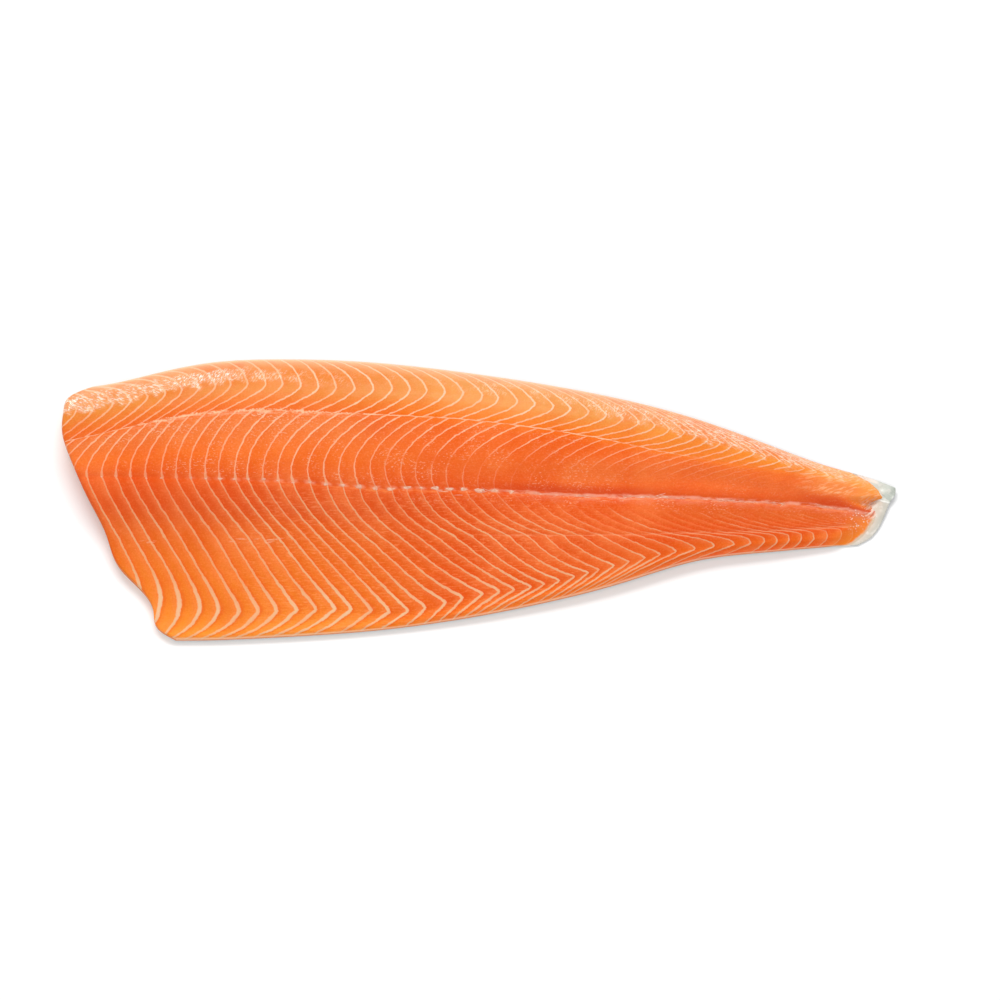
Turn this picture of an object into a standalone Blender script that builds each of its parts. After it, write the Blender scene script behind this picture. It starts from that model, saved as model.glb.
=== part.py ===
"""Raw salmon fillet: one whole side of salmon lying skin down, flesh up.

Two bodies. The flesh is a loft of unlike cross sections from the collar cut to the tail
cut. The skin is a thin sheet under it that runs out past the flesh at the tail.
+X is the tail end, +Y the back of the fish, -Y the belly, +Z up. All sizes in metres.
"""
import bpy
import numpy as np

MM = 0.001

# Thicknesses and gaps
CROWN_HEIGHT = 32.0 * MM
SKIN_THICKNESS = 0.8 * MM
SKIN_TO_FLESH_GAP = 0.3 * MM
SKIN_MARGIN = 0.5 * MM

# The two long edges seen from above: how far out each edge lies at places along the length
EDGE_PLACES = np.array([-290, -262, -225, -190, -140, -80, -20, 40, 100, 150, 200, 245, 288]) * MM
BACK_EDGE = np.array([77, 79.5, 88, 95, 97.6, 96, 91.6, 82.5, 70.5, 56.5, 38.5, 22, 9.5]) * MM
BELLY_EDGE = np.array([-99, -99, -99, -99, -97, -93, -85.5, -74, -58, -43, -36.5, -32, -30]) * MM

# The slanted collar cut: how far toward the head it lies, from belly (0) to back (1)
COLLAR_SHARES = np.array([0, 0.03, 0.11, 0.20, 0.27, 0.40, 0.56, 0.70, 0.81, 0.90, 0.96, 1.0])
COLLAR_CUT = np.array([-207, -217, -223, -234, -246, -256, -270, -281, -287, -286.5, -281, -266]) * MM

# The tail end of the flesh and of the skin, from belly (0) to back (1)
FLESH_TAIL_SHARES = np.array([0, 0.12, 0.25, 0.50, 0.70, 0.78, 0.90, 1.0])
FLESH_TAIL = np.array([255, 263, 268, 271, 274.5, 277, 272.5, 264]) * MM
SKIN_TAIL_SHARES = np.array([0, 0.06, 0.17, 0.34, 0.55, 0.75, 0.88, 1.0])
SKIN_TAIL = np.array([261, 267, 273, 277.5, 281, 284.5, 287.2, 287.5]) * MM

# Height of the thick back muscle along the length, as a share of the crown height
CROWN_PLACES = np.array([-288, -240, -170, -100, -10, 80, 165, 225, 262, 286]) * MM
CROWN_SHARES = np.array([0.72, 0.86, 0.97, 1.0, 0.95, 0.82, 0.66, 0.48, 0.28, 0.13])

# Cross section from belly (0) to back (1) as a share of the local crown height
SECTION_PLACES = np.array([0, 0.09, 0.25, 0.42, 0.50, 0.55, 0.62, 0.71, 0.81, 0.91, 1.0])
FRONT_SECTION = np.array([0.17, 0.24, 0.32, 0.50, 0.68, 0.78, 0.89, 0.96, 1.0, 0.86, 0.60])
REAR_SECTION = np.array([0.46, 0.66, 0.78, 0.74, 0.71, 0.76, 0.88, 0.96, 1.0, 0.85, 0.58])
REAR_STARTS = -90.0 * MM
REAR_FULL = 190.0 * MM

# Rounding of the long edges and of the cut ends
BACK_ROUNDING = 12.0 * MM
BELLY_ROUNDING = 4.5 * MM
CUT_ROUNDING = 3.0 * MM

# Underside: how high the skin lifts off the table at the edges, and over what width
BACK_LIFT = 3.0 * MM
BACK_LIFT_WIDTH = 15.0 * MM
BELLY_LIFT = 1.5 * MM
BELLY_LIFT_WIDTH = 10.0 * MM
TAIL_LIFT = 3.5 * MM
TAIL_LIFT_FROM = 258.0 * MM
TAIL_LIFT_LENGTH = 30.0 * MM
LIFT_FADES_TO = 300.0 * MM
LIFT_FADES_OVER = 110.0 * MM

# Mesh fineness
FLESH_STEPS_ALONG = 46
FLESH_STEPS_ACROSS = 26
SKIN_STEPS_ALONG = 38
SKIN_STEPS_ACROSS = 15


def smooth_curve(places, known_places, known_values):
    """Natural cubic spline through the known values, read at the given places."""
    gap = np.diff(known_places)
    slope = np.diff(known_values) / gap
    count = len(known_values)
    inner = np.arange(1, count - 1)
    system = np.eye(count)
    system[inner, inner - 1] = gap[:-1]
    system[inner, inner] = 2.0 * (gap[:-1] + gap[1:])
    system[inner, inner + 1] = gap[1:]
    right = np.zeros(count)
    right[inner] = 6.0 * np.diff(slope)
    bend = np.linalg.solve(system, right)
    cell = np.clip(np.searchsorted(known_places, places) - 1, 0, count - 2)
    width = gap[cell]
    after = (places - known_places[cell]) / width
    before = 1.0 - after
    straight = before * known_values[cell] + after * known_values[cell + 1]
    curve_before = (before ** 3 - before) * bend[cell]
    curve_after = (after ** 3 - after) * bend[cell + 1]
    return straight + (curve_before + curve_after) * width ** 2 / 6.0


def smooth_step(value):
    """Rises smoothly from 0 to 1 as the value goes from 0 to 1."""
    held = np.clip(value, 0.0, 1.0)
    return held * held * (3.0 - 2.0 * held)


def quarter_round(distance, radius):
    """Rises from 0 to 1 like a quarter circle over one radius from an edge."""
    inside = 1.0 - np.clip(distance / radius, 0.0, 1.0)
    return np.sqrt(1.0 - inside * inside)


def gathered(count, amount):
    """Values from 0 to 1, closer together toward both ends."""
    even = np.linspace(0.0, 1.0, count + 1)
    return even - amount * np.sin(2.0 * np.pi * even) / (2.0 * np.pi)


def plan_position(along, across, tail_shares, tail_cut, margin):
    """Places in plan: X between the collar cut and the tail cut, Y between the long edges."""
    head_x = smooth_curve(across, COLLAR_SHARES, COLLAR_CUT) - margin
    tail_x = smooth_curve(across, tail_shares, tail_cut)
    x = head_x + along * (tail_x - head_x)
    back_y = smooth_curve(x, EDGE_PLACES, BACK_EDGE) + margin
    belly_y = smooth_curve(x, EDGE_PLACES, BELLY_EDGE) - margin
    y = belly_y + across * (back_y - belly_y)
    return x, y, back_y, belly_y


def underside_height(x, y, back_y, belly_y):
    """Height of the skin's lower face: flat, lifting near both long edges and at the tail."""
    near_back = np.clip(1.0 - (back_y - y) / BACK_LIFT_WIDTH, 0.0, None)
    near_belly = np.clip(1.0 - (y - belly_y) / BELLY_LIFT_WIDTH, 0.0, None)
    near_tail = np.clip((x - TAIL_LIFT_FROM) / TAIL_LIFT_LENGTH, 0.0, None)
    strength = smooth_step((LIFT_FADES_TO - x) / LIFT_FADES_OVER)
    long_edges = BACK_LIFT * near_back ** 2 + BELLY_LIFT * near_belly ** 2
    return long_edges * strength + TAIL_LIFT * near_tail ** 2


def flesh_height(x, across, back_gap, belly_gap, head_gap, tail_gap):
    """Thickness of the flesh above its underside."""
    crown = CROWN_HEIGHT * smooth_curve(x, CROWN_PLACES, CROWN_SHARES)
    front = smooth_curve(across, SECTION_PLACES, FRONT_SECTION)
    rear = smooth_curve(across, SECTION_PLACES, REAR_SECTION)
    toward_rear = smooth_step((x - REAR_STARTS) / (REAR_FULL - REAR_STARTS))
    section = front + toward_rear * (rear - front)
    edge = quarter_round(back_gap, BACK_ROUNDING) * quarter_round(belly_gap, BELLY_ROUNDING)
    cuts = 0.9 + 0.1 * quarter_round(head_gap, CUT_ROUNDING)
    cuts = cuts * (0.6 + 0.4 * quarter_round(tail_gap, CUT_ROUNDING))
    return (crown * section - SKIN_THICKNESS - SKIN_TO_FLESH_GAP) * edge * cuts


def new_object(name, vertices, faces, material, collection):
    """Makes a smooth-shaded mesh object and puts it in the collection."""
    mesh = bpy.data.meshes.new(name)
    mesh.from_pydata(vertices.tolist(), [], faces)
    mesh.polygons.foreach_set("use_smooth", np.ones(len(faces), dtype=bool))
    mesh.materials.append(material)
    thing = bpy.data.objects.new(name, mesh)
    collection.objects.link(thing)
    return thing


def new_material(name, colour, roughness):
    """A plain Principled material."""
    material = bpy.data.materials.new(name)
    material.use_nodes = True
    surface = material.node_tree.nodes["Principled BSDF"]
    surface.inputs["Base Color"].default_value = (*colour, 1.0)
    surface.inputs["Roughness"].default_value = roughness
    surface.inputs["Metallic"].default_value = 0.0
    return material


def strip_faces(first_row, second_row):
    """Quads between two equally long rows of vertex numbers."""
    columns = (first_row[:-1], first_row[1:], second_row[1:], second_row[:-1])
    return np.stack(columns, axis=-1).reshape(-1, 4)


def make_flesh(material, collection):
    """The flesh: top and bottom faces share their rims, and both cut ends are closed."""
    ends = np.array([0.0, 0.002, 0.006])
    middle = 0.012 + 0.976 * gathered(FLESH_STEPS_ALONG, 0.3)
    along_values = np.concatenate([ends, middle, 1.0 - ends[::-1]])
    across_values = gathered(FLESH_STEPS_ACROSS, 0.75)
    along, across = np.meshgrid(along_values, across_values, indexing="ij")
    x, y, back_y, belly_y = plan_position(along, across, FLESH_TAIL_SHARES, FLESH_TAIL, 0.0)
    bottom = underside_height(x, y, back_y, belly_y) + SKIN_THICKNESS + SKIN_TO_FLESH_GAP
    length = x[-1:] - x[:1]
    thickness = flesh_height(x, across, back_y - y, y - belly_y,
                             along * length, (1.0 - along) * length)
    rows, columns = x.shape
    top_points = np.stack([x, y, bottom + thickness], axis=-1).reshape(-1, 3)
    bottom_points = np.stack([x, y, bottom], axis=-1)[:, 1:-1].reshape(-1, 3)
    top = np.arange(rows * columns).reshape(rows, columns)
    under = top.copy()
    under[:, 1:-1] = rows * columns + np.arange(rows * (columns - 2)).reshape(rows, -1)
    faces = []
    for row in range(rows - 1):
        faces.extend(strip_faces(top[row], top[row + 1])[:, ::-1].tolist())
        faces.extend(strip_faces(under[row], under[row + 1]).tolist())
    faces.extend(strip_faces(under[0], top[0])[:, ::-1].tolist())
    faces.extend(strip_faces(under[-1], top[-1]).tolist())
    faces = [list(dict.fromkeys(face)) for face in faces]
    points = np.concatenate([top_points, bottom_points])
    return new_object("flesh", points, faces, material, collection)


def make_skin(material, collection):
    """The skin: an open sheet under the flesh, given its thickness by Solidify."""
    along_values = gathered(SKIN_STEPS_ALONG, 0.3)
    across_values = gathered(SKIN_STEPS_ACROSS, 0.6)
    along, across = np.meshgrid(along_values, across_values, indexing="ij")
    x, y, back_y, belly_y = plan_position(along, across, SKIN_TAIL_SHARES, SKIN_TAIL, SKIN_MARGIN)
    height = underside_height(x, y, back_y, belly_y)
    points = np.stack([x, y, height], axis=-1).reshape(-1, 3)
    number = np.arange(x.size).reshape(x.shape)
    faces = []
    for row in range(len(along_values) - 1):
        faces.extend(strip_faces(number[row], number[row + 1]).tolist())
    skin = new_object("skin", points, faces, material, collection)
    thicken = skin.modifiers.new("thickness", "SOLIDIFY")
    thicken.thickness = SKIN_THICKNESS
    thicken.offset = -1.0
    return skin


def centre_on_table(things):
    """Moves all bodies together so the whole stands on Z = 0 about the origin."""
    corners = []
    for thing in things:
        flat = np.empty(len(thing.data.vertices) * 3)
        thing.data.vertices.foreach_get("co", flat)
        corners.append(flat.reshape(-1, 3))
    every = np.concatenate(corners)
    low = every.min(axis=0)
    high = every.max(axis=0)
    shift = np.array([(low[0] + high[0]) / 2.0, (low[1] + high[1]) / 2.0, low[2]])
    for thing, points in zip(things, corners):
        thing.data.vertices.foreach_set("co", (points - shift).ravel())
        thing.data.update()


for old in list(bpy.data.objects):
    bpy.data.objects.remove(old, do_unlink=True)

fillet = bpy.data.collections.new("raw salmon fillet")
bpy.context.scene.collection.children.link(fillet)
flesh_material = new_material("flesh", (0.85, 0.26, 0.09), 0.35)
skin_material = new_material("skin", (0.42, 0.45, 0.43), 0.35)
bodies = [make_flesh(flesh_material, fillet), make_skin(skin_material, fillet)]
centre_on_table(bodies)
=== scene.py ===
"""A raw side of salmon, skin down: orange flesh with pale fat lines, on its silver skin.

+X is the tail end, +Y the back of the fish, -Y the belly, +Z up. All sizes in metres.
"""

import math

import bpy
import numpy as np
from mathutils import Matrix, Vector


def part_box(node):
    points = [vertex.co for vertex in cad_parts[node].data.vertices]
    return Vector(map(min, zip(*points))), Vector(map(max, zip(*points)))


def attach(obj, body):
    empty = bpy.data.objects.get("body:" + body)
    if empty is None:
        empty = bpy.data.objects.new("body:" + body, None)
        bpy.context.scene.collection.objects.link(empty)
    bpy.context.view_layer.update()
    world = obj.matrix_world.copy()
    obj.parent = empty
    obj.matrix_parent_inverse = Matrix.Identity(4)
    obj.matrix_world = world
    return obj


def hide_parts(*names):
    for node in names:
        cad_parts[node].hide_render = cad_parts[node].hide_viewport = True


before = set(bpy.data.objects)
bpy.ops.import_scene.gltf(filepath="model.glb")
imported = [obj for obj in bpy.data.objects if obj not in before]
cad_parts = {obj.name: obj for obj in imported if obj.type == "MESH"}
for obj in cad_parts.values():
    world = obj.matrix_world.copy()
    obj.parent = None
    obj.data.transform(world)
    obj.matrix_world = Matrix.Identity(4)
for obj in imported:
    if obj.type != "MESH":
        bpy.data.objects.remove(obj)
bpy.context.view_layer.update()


# ---------------------------------------------------------------------------------------
# Flesh: one whole muscle side, cut from the collar to the tail, thick along the back and
# thin at the belly flap. Raw muscle in leaf-shaped segments with white fat sheets between
# them, which show on the cut face as bent lines. It is grown onto the skin below.
# ---------------------------------------------------------------------------------------

MM = 0.001

# The two long edges seen from above
EDGE_PLACES = np.array([-290, -262, -225, -190, -140, -80, -20, 40, 100, 150, 200, 245, 273,
                        288]) * MM
BACK_EDGE = np.array([77, 79.3, 87.6, 94.8, 97.6, 95.8, 89.6, 80.8, 69.2, 55.6, 37.2, 21, 12.8,
                      6.2]) * MM
BELLY_EDGE = np.array([-99, -99, -99, -99, -97, -93, -85.5, -74, -58.5, -43.5, -37.3, -33.2,
                       -31.5, -30.5]) * MM

# The slanted collar cut and the tail cut, from belly (0) to back (1)
COLLAR_SHARES = np.array([0, 0.03, 0.11, 0.20, 0.27, 0.40, 0.56, 0.70, 0.81, 0.90, 0.96, 1.0])
COLLAR_CUT = np.array([-207, -217, -223, -234, -246, -256, -270, -281, -287, -286.5, -281, -266]) * MM
FLESH_TAIL_SHARES = np.array([0, 0.05, 0.13, 0.22, 0.345, 0.48, 0.58, 0.66, 0.735, 0.84, 0.92,
                              0.955, 1.0])
FLESH_TAIL = np.array([255.5, 259.5, 264.5, 268.5, 272, 273, 270, 271.5, 277.3, 274.8, 271, 266,
                       256]) * MM

# Heights: the crown of the back muscle along the length, and the section from belly to back
CROWN_HEIGHT = 32.0 * MM
CROWN_PLACES = np.array([-288, -240, -170, -100, -10, 80, 165, 225, 262, 286]) * MM
CROWN_SHARES = np.array([0.72, 0.86, 0.97, 1.0, 0.95, 0.82, 0.66, 0.48, 0.28, 0.13])
SECTION_PLACES = np.array([0, 0.09, 0.25, 0.42, 0.50, 0.55, 0.62, 0.71, 0.81, 0.91, 1.0])
FRONT_SECTION = np.array([0.17, 0.24, 0.32, 0.50, 0.68, 0.78, 0.89, 0.96, 1.0, 0.86, 0.60])
REAR_SECTION = np.array([0.46, 0.66, 0.78, 0.74, 0.71, 0.76, 0.88, 0.96, 1.0, 0.85, 0.58])
REAR_STARTS = -90.0 * MM
REAR_FULL = 190.0 * MM
BACK_ROUNDING = 12.0 * MM
BELLY_ROUNDING = 4.5 * MM
CUT_ROUNDING = 3.0 * MM
TAIL_TAPER = 11.0 * MM
TAIL_FEATHER = 18.0 * MM
TAIL_EDGE_SHARE = 0.04
THIN_LOBE_FROM = 0.68
THIN_LOBE_FULL = 0.56
CUT_EDGE_SHARE = 0.9
RIM_THICKNESS = 0.8 * MM
TAIL_RIM_THICKNESS = 0.3 * MM

# Underside, where the flesh is grown onto the skin: it reaches a little into its upper face
SKIN_THICKNESS = 0.8 * MM
FLESH_INTO_SKIN = 0.15 * MM
BACK_LIFT = 3.0 * MM
BACK_LIFT_WIDTH = 15.0 * MM
BELLY_LIFT = 1.5 * MM
BELLY_LIFT_WIDTH = 10.0 * MM
TAIL_LIFT = 3.5 * MM
TAIL_LIFT_FROM = 258.0 * MM
TAIL_LIFT_LENGTH = 30.0 * MM
LIFT_FADES_TO = 300.0 * MM
LIFT_FADES_OVER = 110.0 * MM

# Seams where the fat sheets change direction, as lines across the fillet (Y at each X)
SEAM_PLACES = np.array([-290, -240, -190, -130, -105, -80, -50, -10, 30, 80, 130, 180, 230, 275]) * MM
BACK_RIDGE = np.array([57, 65.5, 73.8, 75.2, 73, 72.6, 72.2, 69.6, 64, 56.6, 46, 32.5, 17.5, 9.5]) * MM
BACK_SEAM = np.array([35, 45.2, 54.3, 55.8, 54.6, 53.5, 52.3, 50.2, 45.8, 38.6, 28.6, 21, 13.5, 5]) * MM
MIDLINE = np.array([12, 11.5, 10, 8.3, 6.4, 4.6, 3.7, 3, 1.5, -0.5, -1.2, -3.2, -5.8, -11]) * MM
BELLY_SEAM = np.array([-31, -31, -31, -31, -30.7, -30, -28.7, -27.6, -27.7, -28, -27, -25.3, -22.2,
                       -18]) * MM
BELLY_RIDGE = np.array([-64, -66, -77, -79, -78, -78.5, -79.4, -70.2, -64.2, -52.2, -40, -33, -28.2,
                        -20.5]) * MM

# Where every sixth fat sheet meets each seam (X), counted from the collar to the tail
SHEET_NUMBERS = np.array([-12, -6, 0, 6, 12, 18, 24, 30, 36, 42, 48])
AT_BACK_RIDGE = np.array([-290, -216, -147.3, -72.8, 1.5, 75, 140.5, 189, 240, 285, 325]) * MM
AT_BACK_SEAM_ABOVE = np.array([-318, -246, -176, -99, -26, 45, 110, 172, 230, 277, 318]) * MM
AT_BACK_SEAM_BELOW = np.array([-288, -228, -166.5, -96.5, -31.4, 40, 108, 172, 232, 280, 320]) * MM
AT_MIDLINE = np.array([-308, -248.4, -187.1, -127.1, -60.1, 0.3, 67, 128, 187, 238, 280]) * MM
AT_BELLY_SEAM = np.array([-285.5, -225.4, -157.3, -97.3, -30, 45, 119, 193, 256, 303, 344]) * MM

# How far the sheets run back from the back ridge to the back edge, by sheet
BACK_EDGE_SHEETS = np.array([-12, -8, -5, -3, -1, 1, 3, 4, 5, 6, 8, 12, 18, 24, 30, 36, 48])
BACK_EDGE_OFFSET = -np.array([34, 32, 30, 27, 20, 17, 19, 23, 30, 33, 32, 34, 38, 44, 48, 48, 44]) * MM

# The belly ridge has more known sheets near the tail, where they crowd together
BELLY_RIDGE_SHEETS = np.array([-12, -6, 0, 6, 12, 18, 24, 25, 26, 27, 28, 30, 32, 35, 40, 48])
AT_BELLY_RIDGE = np.array([-285, -205, -125.2, -49.1, 24.6, 82.6, 147.5, 160.8, 174.3, 186, 195.4,
                           212.2, 230, 257, 296, 350]) * MM

# How far the sheets run back from the belly ridge to the belly edge, by sheet, and how
# steeply they start and end on that way
BELLY_EDGE_SHEETS = np.array([-12, -6, -5, -3, 0, 2, 4, 6, 7, 9, 11, 12, 14, 16, 18, 20, 23, 25, 26, 27,
                              28, 30, 33, 48])
BELLY_EDGE_OFFSET = -np.array([11, 14, 20, 26, 30, 29, 21, 18, 13.5, 16, 24, 27, 31, 26, 28, 34, 44, 32,
                               27, 18, 8.5, 6.5, 6, 5]) * MM
EDGE_PULL_SHEETS = np.array([-12, -6, -3, 2, 7, 12, 15, 18, 22, 28, 48])
RIDGE_PULL = np.array([0.3, 0.4, 0.65, 0.9, 0.85, 0.9, 0.55, 0.75, 0.7, 0.4, 0.3])
EDGE_PULL = np.array([1.6, 2.0, 2.3, 2.0, 1.3, 1.1, 1.8, 1.4, 1.5, 1.7, 1.7])

# How round the sheets bend over the two ridges, as a share of the band, by sheet
BELLY_BEND_SHEETS = np.array([-12, -6, -3.5, 0, 22, 28, 34, 48])
BELLY_BEND = np.array([0.50, 0.40, 0.10, 0.03, 0.03, 0.15, 0.40, 0.45])
BACK_BEND_SHEETS = np.array([-12, 8, 14, 48])
BACK_BEND = np.array([0.22, 0.20, 0.05, 0.05])

# Grid fineness: stations along, and rows in each band between two seams. Band 0 lies below the
# belly ridge, 1 below the belly seam, 2 below the midline, 3 below the back seam, 4 below the
# back ridge, and 5 runs on to the back edge.
STATIONS = 540
BAND_ROWS = (18, 26, 26, 31, 16, 22)
LAST_ROW_UNDER_SEAM = 0.994
SETTLE_ROUNDS = 12
FLESH_SHARP_ANGLE = math.radians(55.0)


def smooth_curve(places, known_places, known_values):
    """Natural cubic spline through the known values, read at the given places."""
    gap = np.diff(known_places)
    slope = np.diff(known_values) / gap
    count = len(known_values)
    inner = np.arange(1, count - 1)
    system = np.eye(count)
    system[inner, inner - 1] = gap[:-1]
    system[inner, inner] = 2.0 * (gap[:-1] + gap[1:])
    system[inner, inner + 1] = gap[1:]
    right = np.zeros(count)
    right[inner] = 6.0 * np.diff(slope)
    bend = np.linalg.solve(system, right)
    cell = np.clip(np.searchsorted(known_places, places) - 1, 0, count - 2)
    width = gap[cell]
    after = (places - known_places[cell]) / width
    before = 1.0 - after
    straight = before * known_values[cell] + after * known_values[cell + 1]
    curved = (before ** 3 - before) * bend[cell] + (after ** 3 - after) * bend[cell + 1]
    return straight + curved * width ** 2 / 6.0


def smooth_step(value):
    """Rises smoothly from 0 to 1 as the value goes from 0 to 1."""
    held = np.clip(value, 0.0, 1.0)
    return held * held * (3.0 - 2.0 * held)


def sets_in(value, start, full):
    """Rises smoothly from 0 at the start to 1 at full, which may lie below the start."""
    return smooth_step((value - start) / (full - start))


def quarter_round(distance, radius):
    """Rises from 0 to 1 like a quarter circle over one radius from an edge."""
    inside = 1.0 - np.clip(distance / radius, 0.0, 1.0)
    return np.sqrt(1.0 - inside * inside)


def bell(distance, width):
    """A soft bump: 1 at distance 0, falling off over the width."""
    return np.exp(-(distance / width) ** 2)


def edges_at(x):
    """Y of the back edge and of the belly edge at each X."""
    return smooth_curve(x, EDGE_PLACES, BACK_EDGE), smooth_curve(x, EDGE_PLACES, BELLY_EDGE)


def plan_x(along, across, tail_shares, tail_cut):
    """X between the collar cut (along 0) and the tail cut (along 1)."""
    head_x = smooth_curve(across, COLLAR_SHARES, COLLAR_CUT)
    return head_x + along * (smooth_curve(across, tail_shares, tail_cut) - head_x)


def underside_height(x, y, back_y, belly_y):
    """Height of the skin's lower face: flat, lifting near both long edges and at the tail."""
    near_back = np.clip(1.0 - (back_y - y) / BACK_LIFT_WIDTH, 0.0, None)
    near_belly = np.clip(1.0 - (y - belly_y) / BELLY_LIFT_WIDTH, 0.0, None)
    near_tail = np.clip((x - TAIL_LIFT_FROM) / TAIL_LIFT_LENGTH, 0.0, None)
    strength = smooth_step((LIFT_FADES_TO - x) / LIFT_FADES_OVER)
    long_edges = BACK_LIFT * near_back ** 2 + BELLY_LIFT * near_belly ** 2
    return long_edges * strength + TAIL_LIFT * near_tail ** 2


def flesh_thickness(x, across, back_gap, belly_gap, head_gap, tail_gap):
    """Crown height times the cross section, rounded off at the edges and the cut ends.

    Toward the tail cut the thick back ends in a quarter round, and the thin belly side runs
    out in a slow smooth step."""
    crown = CROWN_HEIGHT * smooth_curve(x, CROWN_PLACES, CROWN_SHARES)
    front = smooth_curve(across, SECTION_PLACES, FRONT_SECTION)
    rear = smooth_curve(across, SECTION_PLACES, REAR_SECTION)
    section = front + sets_in(x, REAR_STARTS, REAR_FULL) * (rear - front)
    edge = quarter_round(back_gap, BACK_ROUNDING) * quarter_round(belly_gap, BELLY_ROUNDING)
    cuts = CUT_EDGE_SHARE + (1.0 - CUT_EDGE_SHARE) * quarter_round(head_gap, CUT_ROUNDING)
    thin_lobe = sets_in(across, THIN_LOBE_FROM, THIN_LOBE_FULL)
    taper = quarter_round(tail_gap, TAIL_TAPER)
    taper = taper + thin_lobe * (smooth_step(tail_gap / TAIL_FEATHER) - taper)
    tail_edge = TAIL_EDGE_SHARE * (1.0 - thin_lobe)
    cuts = cuts * (tail_edge + (1.0 - tail_edge) * taper)
    full = crown * section - SKIN_THICKNESS + FLESH_INTO_SKIN
    rim = TAIL_RIM_THICKNESS + (RIM_THICKNESS - TAIL_RIM_THICKNESS) * taper
    return rim + (full - rim) * edge * cuts


def seams_at(x):
    """Y of the seven lines that bound the six bands, from the belly edge to the back edge.

    The seams are given from the middle of the frame, so they are moved onto the outline."""
    back_y, belly_y = edges_at(x)
    between = [smooth_curve(x, SEAM_PLACES, line) + plan_shift[1]
               for line in (BELLY_RIDGE, BELLY_SEAM, MIDLINE, BACK_SEAM, BACK_RIDGE)]
    return np.stack([belly_y, *between, back_y])


def row_shares():
    """Band number and place within the band for each row: squares crowd them at both edges.

    The row just under the back seam lets the fat sheets stop there and start anew above it."""
    band = np.concatenate([np.full(rows, number) for number, rows in enumerate(BAND_ROWS)])
    within = np.concatenate([np.arange(rows) / rows for rows in BAND_ROWS])
    within = np.where(band == 0, within ** 2, within)
    within = np.where(band == 5, 1.0 - (1.0 - within) ** 2, within)
    under_seam = np.flatnonzero(band == 3)
    even = np.arange(len(under_seam) - 1) / (len(under_seam) - 1)
    within[under_seam] = np.append(even, LAST_ROW_UNDER_SEAM)
    return np.append(band, 5), np.append(within, 1.0)


def sheet_line(start, end, start_pull, end_pull, within):
    """Hermite curve between two seams; the pulls are its end slopes as shares of the step."""
    step = end - start
    rise = within * within * (3.0 - 2.0 * within)
    leave = within * (1.0 - within) ** 2 * start_pull
    arrive = -within * within * (1.0 - within) * end_pull
    return start + step * (rise + leave + arrive)


def by_sheet(values):
    """Reads a value given at every sixth fat sheet for all the sheets."""
    return smooth_curve(SHEETS, SHEET_NUMBERS, np.asarray(values, dtype=float))


def bend_over(share, radius):
    """Share of the way from a ridge, level at the ridge and then straight: a hyperbola,
    hypot(share, radius) less the radius, over what that is at the full way."""
    return (np.hypot(share, radius) - radius) / (np.hypot(1.0, radius) - radius)


# The frame stands on the middle of its box; the shape above is moved to the same place
SKIN_MARGIN = 0.5 * MM
SKIN_TAIL_SHARES = np.array([0, 0.06, 0.17, 0.34, 0.55, 0.75, 0.88, 1.0])
SKIN_TAIL = np.array([261, 267, 273, 277.5, 281, 284.5, 287.2, 287.5]) * MM
skin_low, skin_high = (np.array(corner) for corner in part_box("skin"))
outline_along, outline_across = np.meshgrid(np.linspace(0, 1, 200), np.linspace(0, 1, 60))
outline_x = plan_x(outline_along, outline_across, SKIN_TAIL_SHARES, SKIN_TAIL)
outline_back, outline_belly = edges_at(outline_x)
plan_shift = np.array([
    (outline_x.min() - SKIN_MARGIN + outline_x.max() - skin_low[0] - skin_high[0]) / 2.0,
    (outline_back.max() + outline_belly.min() - skin_low[1] - skin_high[1]) / 2.0,
    -skin_low[2],
])

# Grid of the upper face: rows stay on the seams, so the bends in the fat lines are sharp. X
# depends on the share across, and the share across on X, so the two settle in a few rounds.
band, within = row_shares()
along, within_grid = np.meshgrid(np.linspace(0.0, 1.0, STATIONS), within, indexing="ij")
across = np.broadcast_to(np.linspace(0.0, 1.0, len(band)), along.shape).copy()
column = np.arange(len(band))[None, :]
station = np.arange(STATIONS)[:, None]
for _ in range(SETTLE_ROUNDS):
    x = plan_x(along, across, FLESH_TAIL_SHARES, FLESH_TAIL)
    seams = seams_at(x)
    back_y, belly_y = seams[6], seams[0]
    lower = seams[band[None, :], station, column]
    upper = seams[band[None, :] + 1, station, column]
    y = lower + within_grid * (upper - lower)
    across = np.clip((y - belly_y) / (back_y - belly_y), 0.0, 1.0)

# Fat sheets: where every sheet meets every line, a little scattered. The back seam has two
# lines, because the sheets stop under it and start anew above it.
SHEETS = np.arange(-12, 49)
SHEET_SCATTER = 0.45 * MM
LEAST_SHEET_STEP = 0.01 * MM
scatter = np.random.default_rng(11)
at_belly_ridge = smooth_curve(SHEETS, BELLY_RIDGE_SHEETS, AT_BELLY_RIDGE)
at_seams = [
    at_belly_ridge,
    at_belly_ridge,
    by_sheet(AT_BELLY_SEAM),
    by_sheet(AT_MIDLINE),
    by_sheet(AT_BACK_SEAM_BELOW),
    by_sheet(AT_BACK_SEAM_ABOVE),
    by_sheet(AT_BACK_RIDGE),
    by_sheet(AT_BACK_RIDGE) + np.interp(SHEETS, BACK_EDGE_SHEETS, BACK_EDGE_OFFSET),
]
at_seams = [line + scatter.normal(0.0, SHEET_SCATTER, len(SHEETS)) for line in at_seams]
at_seams[0] = at_seams[1] + np.interp(SHEETS, BELLY_EDGE_SHEETS, BELLY_EDGE_OFFSET)

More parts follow.
